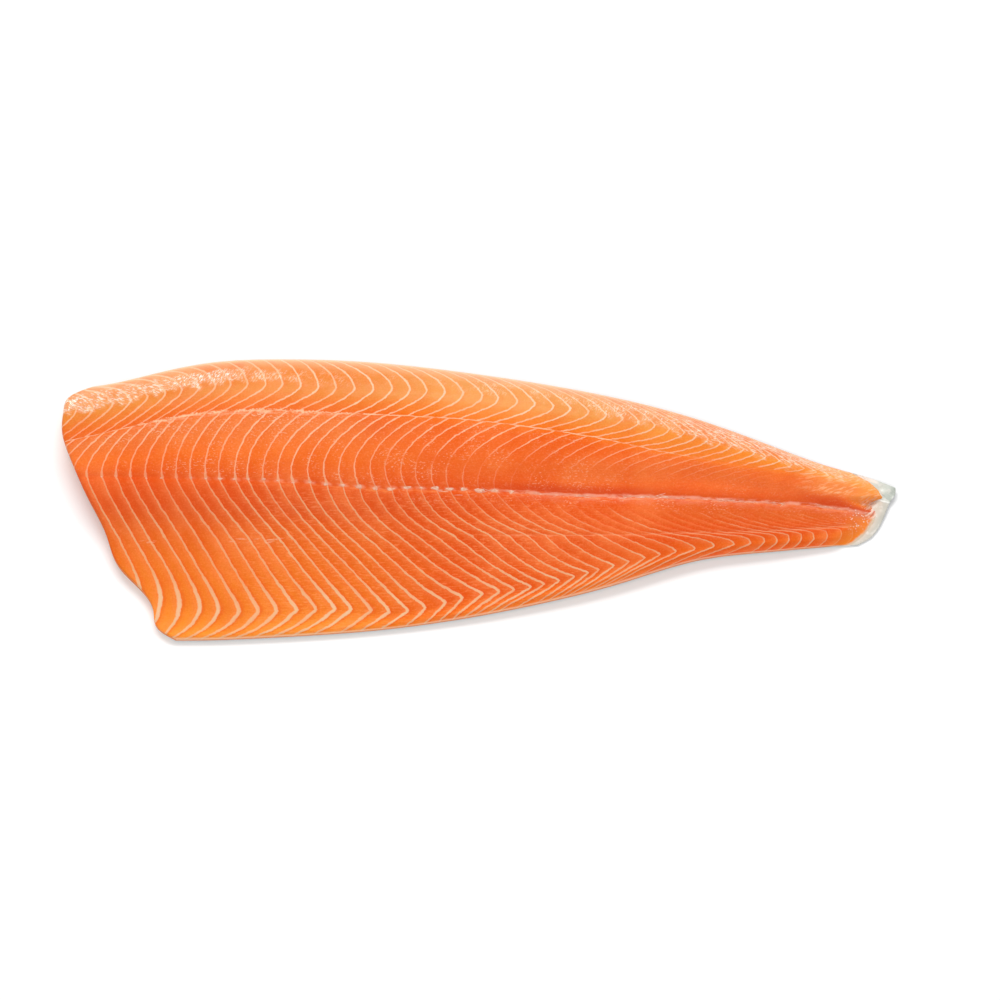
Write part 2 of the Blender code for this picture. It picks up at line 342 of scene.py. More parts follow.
# The two lines that bound each band, and how steeply the sheets leave and reach them, given
# for every sixth sheet
band_ends = [(0, 1), (1, 2), (2, 3), (3, 4), (5, 6), (6, 7)]
start_pulls = [
    np.interp(SHEET_NUMBERS, EDGE_PULL_SHEETS, EDGE_PULL),
    [1.1, 1.1, 1.1, 1.1, 1.2, 1.1, 0.3, 0.1, 0.1, 0.1, 0.1],
    [1.0, 1.0, 1.0, 1.3, 1.7, 1.9, 1.9, 1.6, 1.5, 1.5, 1.5],
    [-0.1, -0.1, -0.3, -0.4, -1.2, -0.4, -0.2, -0.2, -0.2, -0.2, -0.2],
    [1.1, 1.2, 1.2, 1.25, 1.5, 1.5, 1.6, 1.6, 1.6, 1.6, 1.6],
    [0.3, 0.3, 0.2, 0.1, 0.3, 0.5, 0.5, 0.5, 0.5, 0.5, 0.5],
]
end_pulls = [
    np.interp(SHEET_NUMBERS, EDGE_PULL_SHEETS, RIDGE_PULL),
    [0.9, 0.9, 0.95, 1.0, 1.05, 0.8, 1.8, 3.0, 3.0, 3.0, 3.0],
    [0.6, 0.6, 0.55, 0.4, 0.1, 0.5, 0.7, 0.9, 0.9, 0.9, 0.9],
    [2.2, 2.4, 2.6, 2.3, 3.0, 2.2, 1.7, 1.5, 1.5, 1.5, 1.5],
    [0.6, 0.6, 0.6, 0.6, 0.2, 0.2, 0.2, 0.2, 0.2, 0.2, 0.2],
    [2.2, 2.2, 2.0, 2.1, 2.1, 2.1, 2.1, 2.1, 2.1, 2.1, 2.1],
]
belly_bend = np.interp(SHEETS, BELLY_BEND_SHEETS, BELLY_BEND)
back_bend = np.interp(SHEETS, BACK_BEND_SHEETS, BACK_BEND)

# The X of every sheet on every row, then each point's place between two sheets
segment = np.empty_like(x)
for row, (row_band, share) in enumerate(zip(band, within)):
    first, last = band_ends[row_band]
    if row_band == 0:
        share = 1.0 - bend_over(1.0 - share, belly_bend)
    if row_band == 1:
        share = bend_over(share, belly_bend)
    if row_band == 4:
        share = 1.0 - bend_over(1.0 - share, back_bend)
    line_x = sheet_line(at_seams[first], at_seams[last], by_sheet(start_pulls[row_band]),
                        by_sheet(end_pulls[row_band]), share)
    line_x = np.maximum.accumulate(line_x + LEAST_SHEET_STEP * np.arange(len(SHEETS)))
    segment[:, row] = np.interp(x[:, row] - plan_shift[0], line_x, SHEETS)

# Relief of the cut face, all in millimetres: the crease along the midline, which gets deeper
# between two places toward the tail, the two seams, and slow swells that die out at the edges
CREASE_DEPTH = 0.5
CREASE_DEEPER = 0.4
CREASE_DEEPER_FROM = -60.0
CREASE_DEEPEST = 120.0
CREASE_WIDTH = 1.8
BACK_SEAM_DEPTH = 0.22
BACK_SEAM_WIDTH = 1.1
BELLY_SEAM_DEPTH = 0.35
BELLY_SEAM_WIDTH = 1.4
BELLY_SEAM_FROM = -20.0
BELLY_SEAM_FULL = 40.0
SWELL_HEIGHT = 0.16
RIPPLE_HEIGHT = 0.05
SWELLS_DIE_OVER = 9.0
FULL_RELIEF_THICKNESS = 6.0

top_x = x - plan_shift[0]
top_y = y - plan_shift[1]
place_along = top_x / MM
from_midline = (y - seams[3]) / MM
from_back_seam = (y - seams[4]) / MM
from_belly_seam = (y - seams[2]) / MM
from_back_ridge = (y - seams[5]) / MM
inside_edges = smooth_step(np.minimum(back_y - y, y - belly_y) / MM / SWELLS_DIE_OVER)


def swells(x, y, count, shortest, longest, seed):
    """Sum of seeded plane waves with wavelengths between the two limits, about -1 to 1."""
    draw = np.random.default_rng(seed)
    total = np.zeros_like(x)
    for length, turn, start in zip(np.geomspace(shortest, longest, count),
                                   draw.uniform(0.0, math.pi, count),
                                   draw.uniform(0.0, 2.0 * math.pi, count)):
        total += np.sin((x * math.cos(turn) + y * math.sin(turn)) * 2.0 * math.pi / length + start)
    return total / math.sqrt(count)


def crease(place_along, from_midline):
    """Depth of the midline crease in millimetres: a bell across it, deeper toward the tail."""
    deeper = sets_in(place_along, CREASE_DEEPER_FROM, CREASE_DEEPEST)
    return (CREASE_DEPTH + CREASE_DEEPER * deeper) * bell(from_midline, CREASE_WIDTH)


belly_seam_sinks = sets_in(place_along, BELLY_SEAM_FROM, BELLY_SEAM_FULL)
relief = -crease(place_along, from_midline)
relief -= BACK_SEAM_DEPTH * bell(from_back_seam, BACK_SEAM_WIDTH)
relief -= BELLY_SEAM_DEPTH * bell(from_belly_seam, BELLY_SEAM_WIDTH) * belly_seam_sinks
relief += SWELL_HEIGHT * swells(top_x, top_y, 14, 14.0 * MM, 60.0 * MM, 5) * inside_edges
relief += RIPPLE_HEIGHT * swells(top_x, top_y, 16, 4.0 * MM, 12.0 * MM, 6) * inside_edges

station_length = x[-1:] - x[:1]
thickness = flesh_thickness(x, across, back_y - y, y - belly_y,
                            along * station_length, (1.0 - along) * station_length)
under_z = underside_height(x, y, back_y, belly_y) + SKIN_THICKNESS - FLESH_INTO_SKIN
relief = relief * MM * np.clip(thickness / MM / FULL_RELIEF_THICKNESS, 0.0, 1.0)
top_z = under_z + thickness + relief - plan_shift[2]


def line_spacing(x, y, z, value):
    """Distance on the surface over which the value changes by one, held to 0.3 to 30 mm.

    It is one over the steepness of the value, worked out from the grid's stretch and shear."""
    x_along, x_across = np.gradient(x)
    y_along, y_across = np.gradient(y)
    z_along, z_across = np.gradient(z)
    value_along, value_across = np.gradient(value)
    stretch_along = x_along ** 2 + y_along ** 2 + z_along ** 2
    stretch_across = x_across ** 2 + y_across ** 2 + z_across ** 2
    shear = x_along * x_across + y_along * y_across + z_along * z_across
    steepness = (stretch_across * value_along ** 2 - 2.0 * shear * value_along * value_across
                 + stretch_along * value_across ** 2)
    area = stretch_along * stretch_across - shear ** 2
    return np.clip(np.sqrt(area / np.maximum(steepness, 1e-12)) / MM, 0.3, 30.0)


# Band by band, because the sheets bend sharply at the seams. Each band takes in the first row
# of the next, but for the one under the back seam, above which the sheets start anew.
first_row = np.concatenate([[0], np.cumsum(BAND_ROWS)])
spacing = np.empty_like(x)
for row_band in range(len(BAND_ROWS)):
    last_row = first_row[row_band + 1] + (0 if row_band == 3 else 1)
    rows = slice(first_row[row_band], last_row)
    spacing[:, rows] = line_spacing(x[:, rows], y[:, rows], top_z[:, rows], segment[:, rows])

# How thick (in millimetres) and how white the fat sheets show along X, by line: belly edge,
# belly ridge, belly seam, midline, under the back seam, above it, back ridge, back edge
FAT_PLACES = np.array([-290, -200, -110, -20, 60, 130, 200, 280]) * MM
FAT_HALF_WIDTH = np.array([
    [0.65, 0.65, 0.65, 0.60, 0.45, 0.42, 0.45, 0.40],
    [1.60, 1.50, 1.22, 0.95, 0.66, 0.52, 0.55, 0.45],
    [0.66, 0.70, 0.60, 0.52, 0.42, 0.36, 0.34, 0.30],
    [0.48, 0.50, 0.46, 0.40, 0.38, 0.32, 0.30, 0.28],
    [0.45, 0.52, 0.52, 0.45, 0.38, 0.33, 0.30, 0.30],
    [0.40, 0.42, 0.45, 0.45, 0.42, 0.40, 0.42, 0.36],
    [0.70, 0.60, 0.60, 0.66, 0.60, 0.48, 0.42, 0.32],
    [0.95, 0.80, 0.62, 0.58, 0.50, 0.42, 0.34, 0.30],
])
FAT_STRENGTH = np.array([
    [0.85, 0.90, 0.90, 0.85, 0.75, 0.70, 0.70, 0.50],
    [0.98, 0.98, 0.98, 0.88, 0.82, 0.78, 0.75, 0.50],
    [0.70, 0.76, 0.84, 0.80, 0.66, 0.60, 0.60, 0.40],
    [0.50, 0.60, 0.70, 0.42, 0.06, 0.04, 0.04, 0.04],
    [0.75, 0.90, 0.90, 0.86, 0.80, 0.50, 0.04, 0.02],
    [0.45, 0.60, 0.85, 0.88, 0.85, 0.85, 0.70, 0.30],
    [0.60, 0.66, 0.80, 0.88, 0.90, 0.90, 0.90, 0.60],
    [0.80, 0.76, 0.78, 0.85, 0.85, 0.85, 0.85, 0.70],
])

# Where in each band the blend from its lower to its upper line starts, and how long it is
BLEND_STARTS = np.array([0.0, 0.0, 0.15, 0.30, 0.0, 0.0])
BLEND_LENGTHS = np.array([1.0, 0.62, 0.75, 0.60, 1.0, 1.0])


def by_band(table):
    """Blends a table of values (eight lines by eight places) over the bands and along X."""
    cell = np.interp(top_x, FAT_PLACES, np.arange(len(FAT_PLACES)))
    low = np.clip(np.floor(cell).astype(int), 0, len(FAT_PLACES) - 2)
    part = cell - low
    ends = np.array(band_ends)[band].T
    lines = [table[line, low] * (1.0 - part) + table[line, low + 1] * part for line in ends]
    share = smooth_step((within - BLEND_STARTS[band]) / BLEND_LENGTHS[band])
    return lines[0] * (1.0 - share) + lines[1] * share


# From the middle to the tail the sheets are fainter just above the midline, with a gap part of
# the way up, and near the tail they are fainter below it too
fat_strength = by_band(FAT_STRENGTH)
over_midline = 0.2 * sets_in(within, 0.55, 0.20) + 0.75 * bell(within - 0.40, 0.10)
fat_strength *= 1.0 - (band == 3) * over_midline * sets_in(place_along, -90.0, -40.0)
fat_strength *= 1.0 - 0.35 * (band == 2) * sets_in(place_along, 100.0, 160.0)

# Where the surface is wettest: a film that hangs over the back ridge with an uneven lower
# border, and beads near the tail cut; both get a clear coat and painted glints. Small flecks of
# tissue stick on both sides of the midline and at the back seam near the collar. Places and
# distances are in millimetres.
WET_PLACES = np.array([-290, -262, -226, -200, -172, -152, -125, -90, -40, 0, 60, 95, 120, 180,
                       255, 268])
WET_SHARES = np.array([0.80, 0.75, 0.70, 1.1, 0.9, 0.6, 0.4, 0.15, 0.1, 0.25, 0.36, 0.52, 0.68, 0.62,
                       0.44, 0.3])
FLECK_PLACES = np.array([-290, -240, -150, -90, -20, 60, 110, 180, 260])
FLECKS_ABOVE = np.array([0.4, 0.8, 0.9, 1.0, 0.9, 0.8, 0.4, 0.3, 0.2])
FLECKS_BELOW = np.array([0.0, 0.0, 0.0, 0.1, 0.7, 1.0, 0.9, 0.6, 0.4])
FILM_BELOW_RIDGE = 3.0
FILM_LOWER_AT_COLLAR = 4.0
FILM_LOWER_AT_TAIL = 3.6
FILM_BORDER_WAVE = 1.6
BEADS_AT = 262.0

film_reach = FILM_BELOW_RIDGE + FILM_LOWER_AT_COLLAR * sets_in(place_along, -215.0, -245.0)
film_reach += FILM_LOWER_AT_TAIL * sets_in(place_along, 60.0, 120.0)
film_reach += FILM_BORDER_WAVE * swells(top_x, top_y, 12, 5.0 * MM, 30.0 * MM, 12)
ridge_wet = sets_in(from_back_ridge + film_reach, 1.0, 8.0) * sets_in(from_back_ridge, 16.0, 8.0)
ridge_wet *= np.interp(place_along, WET_PLACES, WET_SHARES)
beaded = bell(place_along - BEADS_AT, 7.0) * bell(from_midline + 6.0, 8.0)
above_midline = sets_in(from_midline, 1.0, 5.0) * sets_in(from_back_seam, -0.5, -3.5)
below_midline = sets_in(from_midline, 0.0, -2.0) * sets_in(from_midline, -14.0, -6.0)
flecked = (above_midline * np.interp(place_along, FLECK_PLACES, FLECKS_ABOVE)
           + below_midline * np.interp(place_along, FLECK_PLACES, FLECKS_BELOW))
flecked += bell(from_back_seam + 4.0, 4.0) * sets_in(place_along, -90.0, -140.0)
to_tail_cut = (1.0 - along) * station_length / MM

# What the material reads at each point of the surface
surface_values = {
    "sheet": segment,
    "sheet_spacing": spacing,
    "band": np.broadcast_to(band + within, x.shape),
    "fat_half_width": by_band(FAT_HALF_WIDTH),
    "fat_strength": fat_strength,
    "from_midline": from_midline,
    "from_back_seam": from_back_seam,
    "from_belly_seam": from_belly_seam,
    "wet": ridge_wet,
    "beaded": beaded,
    "flecked": flecked,
    "to_tail_cut": to_tail_cut,
    "depth": np.zeros_like(x),
}


def border_of(grid):
    """The outer points of a grid, counter-clockwise from the belly corner at the collar."""
    return np.concatenate([grid[:-1, 0], grid[-1, :-1], grid[:0:-1, -1], grid[0, :0:-1]])


def ring_faces(outer, inner):
    """Quads between two closed rings of point numbers."""
    return np.stack([inner, np.roll(inner, -1), np.roll(outer, -1), outer], axis=-1)


def grid_faces(number):
    """Quads between neighbours on a grid of point numbers, facing up."""
    quads = np.stack([number[:-1, :-1], number[1:, :-1], number[1:, 1:], number[:-1, 1:]], axis=-1)
    return quads.reshape(-1, 4)


# Below the upper face: a wall from the rim down to the skin, a little sloped at the tail cut,
# then loops that run in under the flesh and close it
WALL_LOOPS = 5
UNDER_LOOPS = 4
UNDER_INSET_ACROSS = 0.20
UNDER_INSET_ALONG = 0.10
TAIL_WALL_SLOPE = 1.4 * MM
TAIL_WALL_FROM = 0.985

top_number = np.arange(x.size).reshape(x.shape)
rim = border_of(top_number)
rim_top = np.stack([border_of(top_x), border_of(top_y), border_of(top_z)], axis=-1)
rim_under = rim_top.copy()
rim_under[:, 2] = border_of(under_z) - plan_shift[2]
rim_along = border_of(along)
rim_across = border_of(across)
rim_slope = TAIL_WALL_SLOPE * sets_in(rim_along, TAIL_WALL_FROM, 1.0)
rim_under[:, 0] += rim_slope
loops = []
loop_depths = []
for step in range(1, WALL_LOOPS + 1):
    share = step / WALL_LOOPS
    loops.append(rim_top + (rim_under - rim_top) * share)
    loop_depths.append((rim_top[:, 2] - rim_under[:, 2]) * share / MM)
for step in range(1, UNDER_LOOPS + 1):
    share = step / UNDER_LOOPS
    loop_across = 0.5 + (rim_across - 0.5) * (1.0 - UNDER_INSET_ACROSS * share)
    loop_along = 0.5 + (rim_along - 0.5) * (1.0 - UNDER_INSET_ALONG * share)
    loop_x = plan_x(loop_along, loop_across, FLESH_TAIL_SHARES, FLESH_TAIL)
    loop_x = loop_x + rim_slope * (1.0 - share)
    loop_back, loop_belly = edges_at(loop_x)
    loop_y = loop_belly + loop_across * (loop_back - loop_belly)
    loop_z = underside_height(loop_x, loop_y, loop_back, loop_belly)
    loop_z = loop_z + SKIN_THICKNESS - FLESH_INTO_SKIN
    loops.append(np.stack([loop_x, loop_y, loop_z], axis=-1) - plan_shift)
    loop_depths.append(loop_depths[WALL_LOOPS - 1] + share)
rings = [rim] + [x.size + step * len(rim) + np.arange(len(rim)) for step in range(len(loops))]
points = np.concatenate([np.stack([top_x, top_y, top_z], axis=-1).reshape(-1, 3), *loops])
faces = grid_faces(top_number).tolist()
for outer, inner in zip(rings[:-1], rings[1:]):
    faces.extend(ring_faces(outer, inner).tolist())
faces.append(rings[-1][::-1].tolist())


def new_piece(name, points, faces, values=None):
    """Makes a smooth mesh object at the origin, with any named values stored on its points."""
    mesh = bpy.data.meshes.new(name)
    mesh.from_pydata(points.tolist(), [], faces)
    mesh.polygons.foreach_set("use_smooth", np.ones(len(mesh.polygons), dtype=bool))
    for key, value in (values or {}).items():
        store = mesh.attributes.new(key, "FLOAT", "POINT")
        store.data.foreach_set("value", np.asarray(value, dtype=np.float32).ravel())
    thing = bpy.data.objects.new(name, mesh)
    bpy.context.scene.collection.objects.link(thing)
    return thing


all_values = {}
for key, value in surface_values.items():
    border = border_of(value)
    extra = loop_depths if key == "depth" else [border] * len(loops)
    all_values[key] = np.concatenate([value.ravel(), *extra])
flesh = new_piece("flesh_side", points, faces, all_values)
flesh.data.set_sharp_from_angle(angle=FLESH_SHARP_ANGLE)


class Field:
    """A shader value or colour that varies over a surface; arithmetic on it adds Math nodes."""

    def __init__(self, tree, socket=None):
        self.tree = tree
        self.socket = socket

    def feed(self, target, values):
        """Fills a node's sockets: a Field is linked, anything else is set as the value."""
        for key, value in values.items():
            if isinstance(value, Field):
                self.tree.links.new(value.socket, target.inputs[key])
            else:
                target.inputs[key].default_value = value

    def node(self, kind, settings=None, values=None, out=0):
        """Adds any node: its type, its settings first, then values or links for its sockets."""
        made = self.tree.nodes.new(kind)
        for name, setting in (settings or {}).items():
            if name == "stops":
                ramp = made.color_ramp
                while len(ramp.elements) < len(setting):
                    ramp.elements.new(0.5)
                for element, (position, colour) in zip(ramp.elements, setting):
                    element.position = position
                    element.color = colour
            else:
                setattr(made, name, setting)
        self.feed(made, values or {})
        return Field(self.tree, made.outputs[out])

    def math(self, operation, first, second=None):
        values = {0: first} if second is None else {0: first, 1: second}
        return self.node("ShaderNodeMath", {"operation": operation}, values)

    def __add__(self, other):
        return self.math("ADD", self, other)

    def __radd__(self, other):
        return self.math("ADD", other, self)

    def __sub__(self, other):
        return self.math("SUBTRACT", self, other)

    def __rsub__(self, other):
        return self.math("SUBTRACT", other, self)

    def __mul__(self, other):
        return self.math("MULTIPLY", self, other)

    def __rmul__(self, other):
        return self.math("MULTIPLY", other, self)

    def __truediv__(self, other):
        return self.math("DIVIDE", self, other)

    def stored(self, name):
        """A value stored on the mesh points."""
        return self.node("ShaderNodeAttribute", {"attribute_name": name}, out="Fac")

    def size(self):
        """The value without its sign."""
        return self.math("ABSOLUTE", self)

    def least(self, other):
        """The smaller of two values."""
        return self.math("MINIMUM", self, other)

    def most(self, other):
        """The larger of two values."""
        return self.math("MAXIMUM", self, other)

    def ease(self, nil, full):
        """Rises smoothly from 0 at nil to 1 at full, which may lie below nil."""
        return self.node("ShaderNodeMapRange", {"interpolation_type": "SMOOTHSTEP"},
                         {"Value": self, "From Min": nil, "From Max": full})

    def between(self, nil, full, still_full, nil_again):
        """Rises from 0 to 1, stays, and falls back to 0 at four places in rising order."""
        return self.ease(nil, full) * self.ease(nil_again, still_full)

    def stripe(self, full, nil):
        """A stripe about zero: 1 as far as full to both sides, and 0 from nil on."""
        return 1.0 - self.size().ease(full, nil)

    def speckle(self, place, scale, detail=2.0, roughness=0.5):
        """Soft noise from 0 to 1 at a place."""
        return self.node("ShaderNodeTexNoise", None,
                         {"Vector": place, "Scale": scale, "Detail": detail,
                          "Roughness": roughness})

    def stretched(self, place, factors):
        """A place with each direction multiplied by its own factor."""
        return self.node("ShaderNodeVectorMath", {"operation": "MULTIPLY"},
                         {0: place, 1: factors})

    def streaky(self, place, factors, detail=3.0, roughness=0.6):
        """Soft noise that is drawn out in the directions with small factors."""
        return self.speckle(self.stretched(place, factors), 1.0, detail, roughness)

    def turned(self, place, angle):
        """A place turned about the upright axis."""
        return self.node("ShaderNodeVectorRotate", {"rotation_type": "Z_AXIS"},
                         {"Vector": place, "Angle": angle})

    def cells(self, place, scale, feature="F1", randomness=1.0):
        """Distance to the nearest of many scattered points, or to the edge between two."""
        return self.node("ShaderNodeTexVoronoi", {"feature": feature},
                         {"Vector": place, "Scale": scale, "Randomness": randomness})

    def bumped(self, height, distance, strength=1.0):
        """The surface's own direction, tipped by a height in units of the distance."""
        return self.node("ShaderNodeBump", None,
                         {"Strength": strength, "Distance": distance, "Height": height})

    def blend(self, share, first, second):
        """Mixes two colours."""
        return self.node("ShaderNodeMix", {"data_type": "RGBA"},
                         {0: share, 6: first, 7: second}, out=2)


def tint(red, green, blue):
    """A linear colour from display values of 0 to 255."""
    share = np.array([red, green, blue]) / 255.0
    linear = np.where(share <= 0.04045, share / 12.92, ((share + 0.055) / 1.055) ** 2.4)
    return (*linear.tolist(), 1.0)


def new_finish(name):
    """A material with an empty node tree, a Principled shader and its output."""
    material = bpy.data.materials.new(name)
    material.use_nodes = True
    tree = material.node_tree
    tree.nodes.clear()
    shader = tree.nodes.new("ShaderNodeBsdfPrincipled")
    output = tree.nodes.new("ShaderNodeOutputMaterial")
    tree.links.new(shader.outputs["BSDF"], output.inputs["Surface"])
    return material, Field(tree), shader


# Muscle colours from belly edge to back edge, as display values at shares of the way across:
# near the collar, in the middle and near the tail
TONE_SHARES = (0.00, 0.17, 0.30, 0.42, 0.50, 0.56, 0.64, 0.68, 0.80, 0.90, 1.00)
COLLAR_TONES = ((251, 152, 44), (231, 125, 32), (220, 104, 18), (212, 79, 14), (221, 82, 12),
                (230, 104, 22), (225, 117, 54), (222, 99, 25), (211, 126, 43), (210, 116, 36),
                (211, 171, 130))
MIDDLE_TONES = ((250, 127, 30), (221, 87, 8), (209, 78, 9), (215, 79, 8), (225, 81, 8),
                (226, 97, 28), (226, 92, 12), (231, 114, 10), (216, 143, 66), (211, 143, 76),
                (211, 171, 138))
TAIL_TONES = ((239, 90, 8), (230, 99, 8), (219, 74, 9), (211, 90, 27), (210, 85, 18),
              (232, 105, 43), (230, 107, 38), (235, 128, 40), (230, 137, 37), (212, 106, 31),
              (212, 104, 37))

# Lighter and darker marks in the muscle, some of them painted light and painted shade
PALE_CLOUD = tint(250, 150, 84)
DEEP_CLOUD = tint(212, 70, 22)
# Painted light and painted shade on the sloping sides of the muscle segments
PAINTED_LIGHT_BEFORE_SHEET = tint(247, 142, 86)
PAINTED_SHADE_AFTER_SHEET = tint(224, 74, 22)
PALE_FIBRE = tint(244, 156, 100)
DEEP_FIBRE = tint(214, 74, 20)
PALE_MOTTLE = tint(250, 150, 96)
DEEP_MOTTLE = tint(206, 66, 22)
# Redder muscle, with painted shade on the upper bank of the midline crease
RED_MUSCLE_AND_CREASE_SHADE = tint(200, 60, 20)
# Painted shade in the groove along the midline
PAINTED_GROOVE_SHADE = tint(204, 66, 20)
PALE_GROOVE = tint(244, 150, 84)

# Fat sheets, seams and thin tissue
FAT_AT_BELLY_EDGE = tint(230, 184, 142)
FAT_BELOW_MIDLINE = tint(221, 167, 122)
FAT_ABOVE_MIDLINE = tint(240, 180, 144)
FAT_AT_BACK_EDGE = tint(226, 186, 152)
# A thin painted shadow just behind each fat sheet
PAINTED_SHADOW_BESIDE_FAT = tint(216, 74, 20)
BACK_MEMBRANE = tint(240, 166, 130)
BACK_STRINGS = tint(245, 194, 154)
BELLY_LINE = tint(246, 170, 124)
MIDLINE_HAZE = tint(226, 134, 104)
MIDLINE_TISSUE = tint(232, 164, 140)
KNOT_HAZE = tint(240, 160, 124)
FLECKS = tint(238, 178, 142)
SCUFFS = tint(232, 176, 140)

# Rims, tail end, and the wet film: painted sheen and painted glints over pale fat and membrane
BACK_RIM = tint(232, 192, 152)
BELLY_RIM = tint(252, 214, 180)
CUT_WALL = tint(250, 170, 112)
TAIL_ORANGE = tint(250, 138, 44)
TAIL_LOBE = tint(248, 164, 92)
LOBE_STREAKS = tint(250, 198, 150)
THIN_END = tint(216, 190, 166)
NOTCH_WALL = tint(244, 196, 164)
# Painted shade between the strands in the notch
PAINTED_NOTCH_SHADE = tint(180, 138, 112)
NOTCH_STRANDS = tint(250, 220, 204)
PAINTED_SHEEN_AND_PALE_FAT = tint(242, 184, 128)
PAINTED_GLINTS_AND_MEMBRANE = tint(254, 234, 218)

# Where along the fillet each look is, as X in metres: a pair says where it is nil and where
# it is full, and four values rise from nil to full and fall back to nil
MIDDLE_TONES_FROM = (-0.12, 0.0)
TAIL_TONES_FROM = (0.06, 0.18)
FIBRES_CLEAR = (-0.20, -0.12, 0.04, 0.12)
SHEETS_FEW_FROM = (0.05, 0.11)
THICK_ROOTS_UNTIL = (-0.06, -0.10)
BACK_SEAM_TORN = (-0.25, -0.21, -0.12, -0.05)
BACK_SEAM_NARROW_UNTIL = (-0.20, -0.26)
BACK_SEAM_UNTIL = (0.17, 0.11)
BELLY_SEAM_FROM = (-0.01, 0.03)
RED_FROM = (-0.02, 0.05)
REDDEST_UNTIL = (0.14, 0.10)
REDDEST_AGAIN_FROM = (0.215, 0.24)
GROOVE_SHADE_FROM = (-0.19, -0.15)
PALE_GROOVE_FROM = (-0.14, -0.09)
TISSUE_FROM = (-0.02, 0.04)
TISSUE_HAZE_FROM = (0.0, 0.06)
KNOT_HAZE_FROM = (-0.24, -0.10)
KNOT_HAZE_UNTIL = (0.06, 0.02)
LOBE_FROM = (0.210, 0.245)
SCUFFS_UNTIL = (-0.09, -0.14)
LEVEL_STREAKS_FROM = (0.09, 0.15)
LEVEL_STREAKS_UNTIL = (-0.20, -0.225)

# Distances from the seams, the cut and the upper face are in millimetres
raw_flesh, paint, shader = new_finish("raw flesh")
place = paint.node("ShaderNodeTexCoord", out="Object")
lengthwise = paint.node("ShaderNodeSeparateXYZ", None, {0: place}, out=0)
sheet = paint.stored("sheet")
sheet_spacing = paint.stored("sheet_spacing")
strength = paint.stored("fat_strength")
across_place = paint.stored("band") / 6.0
depth = paint.stored("depth")
midline = paint.stored("from_midline")
back_seam = paint.stored("from_back_seam")
belly_seam = paint.stored("from_belly_seam")
wet = paint.stored("wet") * depth.ease(2.0, 0.2)
beaded = paint.stored("beaded")
flecked = paint.stored("flecked")
to_tail_cut = paint.stored("to_tail_cut")

# Muscle colour between the fat sheets: three ramps from belly edge to back edge, and clouds
tones = [paint.node("ShaderNodeValToRGB",
                    {"stops": [(share, tint(*shade)) for share, shade in zip(TONE_SHARES, shades)]},
                    {0: across_place})
         for shades in (COLLAR_TONES, MIDDLE_TONES, TAIL_TONES)]
muscle = paint.blend(lengthwise.ease(*MIDDLE_TONES_FROM), tones[0], tones[1])
muscle = paint.blend(lengthwise.ease(*TAIL_TONES_FROM), muscle, tones[2])
clouds = paint.speckle(place, 28.0, 3.0, 0.55)
muscle = paint.blend(0.22 * clouds.ease(0.45, 0.75), muscle, PALE_CLOUD)
muscle = paint.blend(0.22 * clouds.ease(0.52, 0.25), muscle, DEEP_CLOUD)

# Painted shade and painted light for the slope of the stepped segments: each is darker just
# behind a fat sheet and paler in front of the next; fine fibres and mottling
wander = paint.speckle(place, 160.0, 3.0, 0.6) - 0.5
fine_wander = paint.speckle(place, 700.0, 2.0, 0.5) - 0.5
moved_sheet = sheet + (wander * 2.0 + fine_wander * 0.8) / sheet_spacing.most(4.0)
through_segment = paint.math("FRACT", moved_sheet)
belly_side = across_place.ease(0.56, 0.44)
shading = (0.35 + 0.65 * belly_side) * strength.ease(0.04, 0.5)
muscle = paint.blend(0.30 * shading * through_segment.ease(0.40, 1.0), muscle, PAINTED_LIGHT_BEFORE_SHEET)
muscle = paint.blend(0.32 * shading * through_segment.ease(0.55, 0.0), muscle, PAINTED_SHADE_AFTER_SHEET)
fibres = paint.streaky(place, (190.0, 980.0, 300.0), 2.0)
fibrous = 0.25 + 0.75 * (belly_side * lengthwise.between(*FIBRES_CLEAR))
muscle = paint.blend(0.32 * fibrous * fibres.ease(0.50, 0.70), muscle, PALE_FIBRE)
muscle = paint.blend(0.28 * fibrous * fibres.ease(0.48, 0.30), muscle, DEEP_FIBRE)
mottle = paint.speckle(place, 900.0, 2.0, 0.6)
muscle = paint.blend(0.16 * mottle.ease(0.50, 0.70), muscle, PALE_MOTTLE)
muscle = paint.blend(0.16 * mottle.ease(0.50, 0.30), muscle, DEEP_MOTTLE)

# Fat sheets: distance to the nearest one, drawn at its own width with a ragged edge. Some
# are missing between the belly seam and the midline near the tail, and they thicken at their
# roots just above the midline near the collar.
half_width = paint.stored("fat_half_width").least(sheet_spacing * 0.30)
sheet_number = paint.math("ROUND", moved_sheet)
signed = (moved_sheet - sheet_number) * sheet_spacing
one_sheet = paint.node("ShaderNodeTexWhiteNoise", {"noise_dimensions": "1D"}, {"W": sheet_number})
own_strength = strength * (0.80 + 0.3 * one_sheet) * (0.75 + 0.5 * paint.speckle(place, 60.0))
few = belly_seam.ease(0.0, 2.5) * midline.ease(0.0, -2.0) * lengthwise.ease(*SHEETS_FEW_FROM)
own_strength = own_strength * (1.0 - few * one_sheet.ease(0.62, 0.45))
own_strength = own_strength * (1.0 - few * paint.speckle(place, 110.0).ease(0.52, 0.40))
own_width = half_width * (0.72 + 0.56 * paint.speckle(place, 90.0, 3.0, 0.6))
root = midline.between(-0.8, 0.2, 0.6, 5.0) * lengthwise.ease(*THICK_ROOTS_UNTIL)
own_width = own_width * (1.0 + 1.1 * root)
fat = signed.stripe(own_width * 0.62, own_width * 1.30) * own_strength
fat_colour = paint.blend(across_place.ease(0.25, 0.15), FAT_BELOW_MIDLINE, FAT_AT_BELLY_EDGE)
fat_colour = paint.blend(across_place.ease(0.46, 0.54), fat_colour, FAT_ABOVE_MIDLINE)
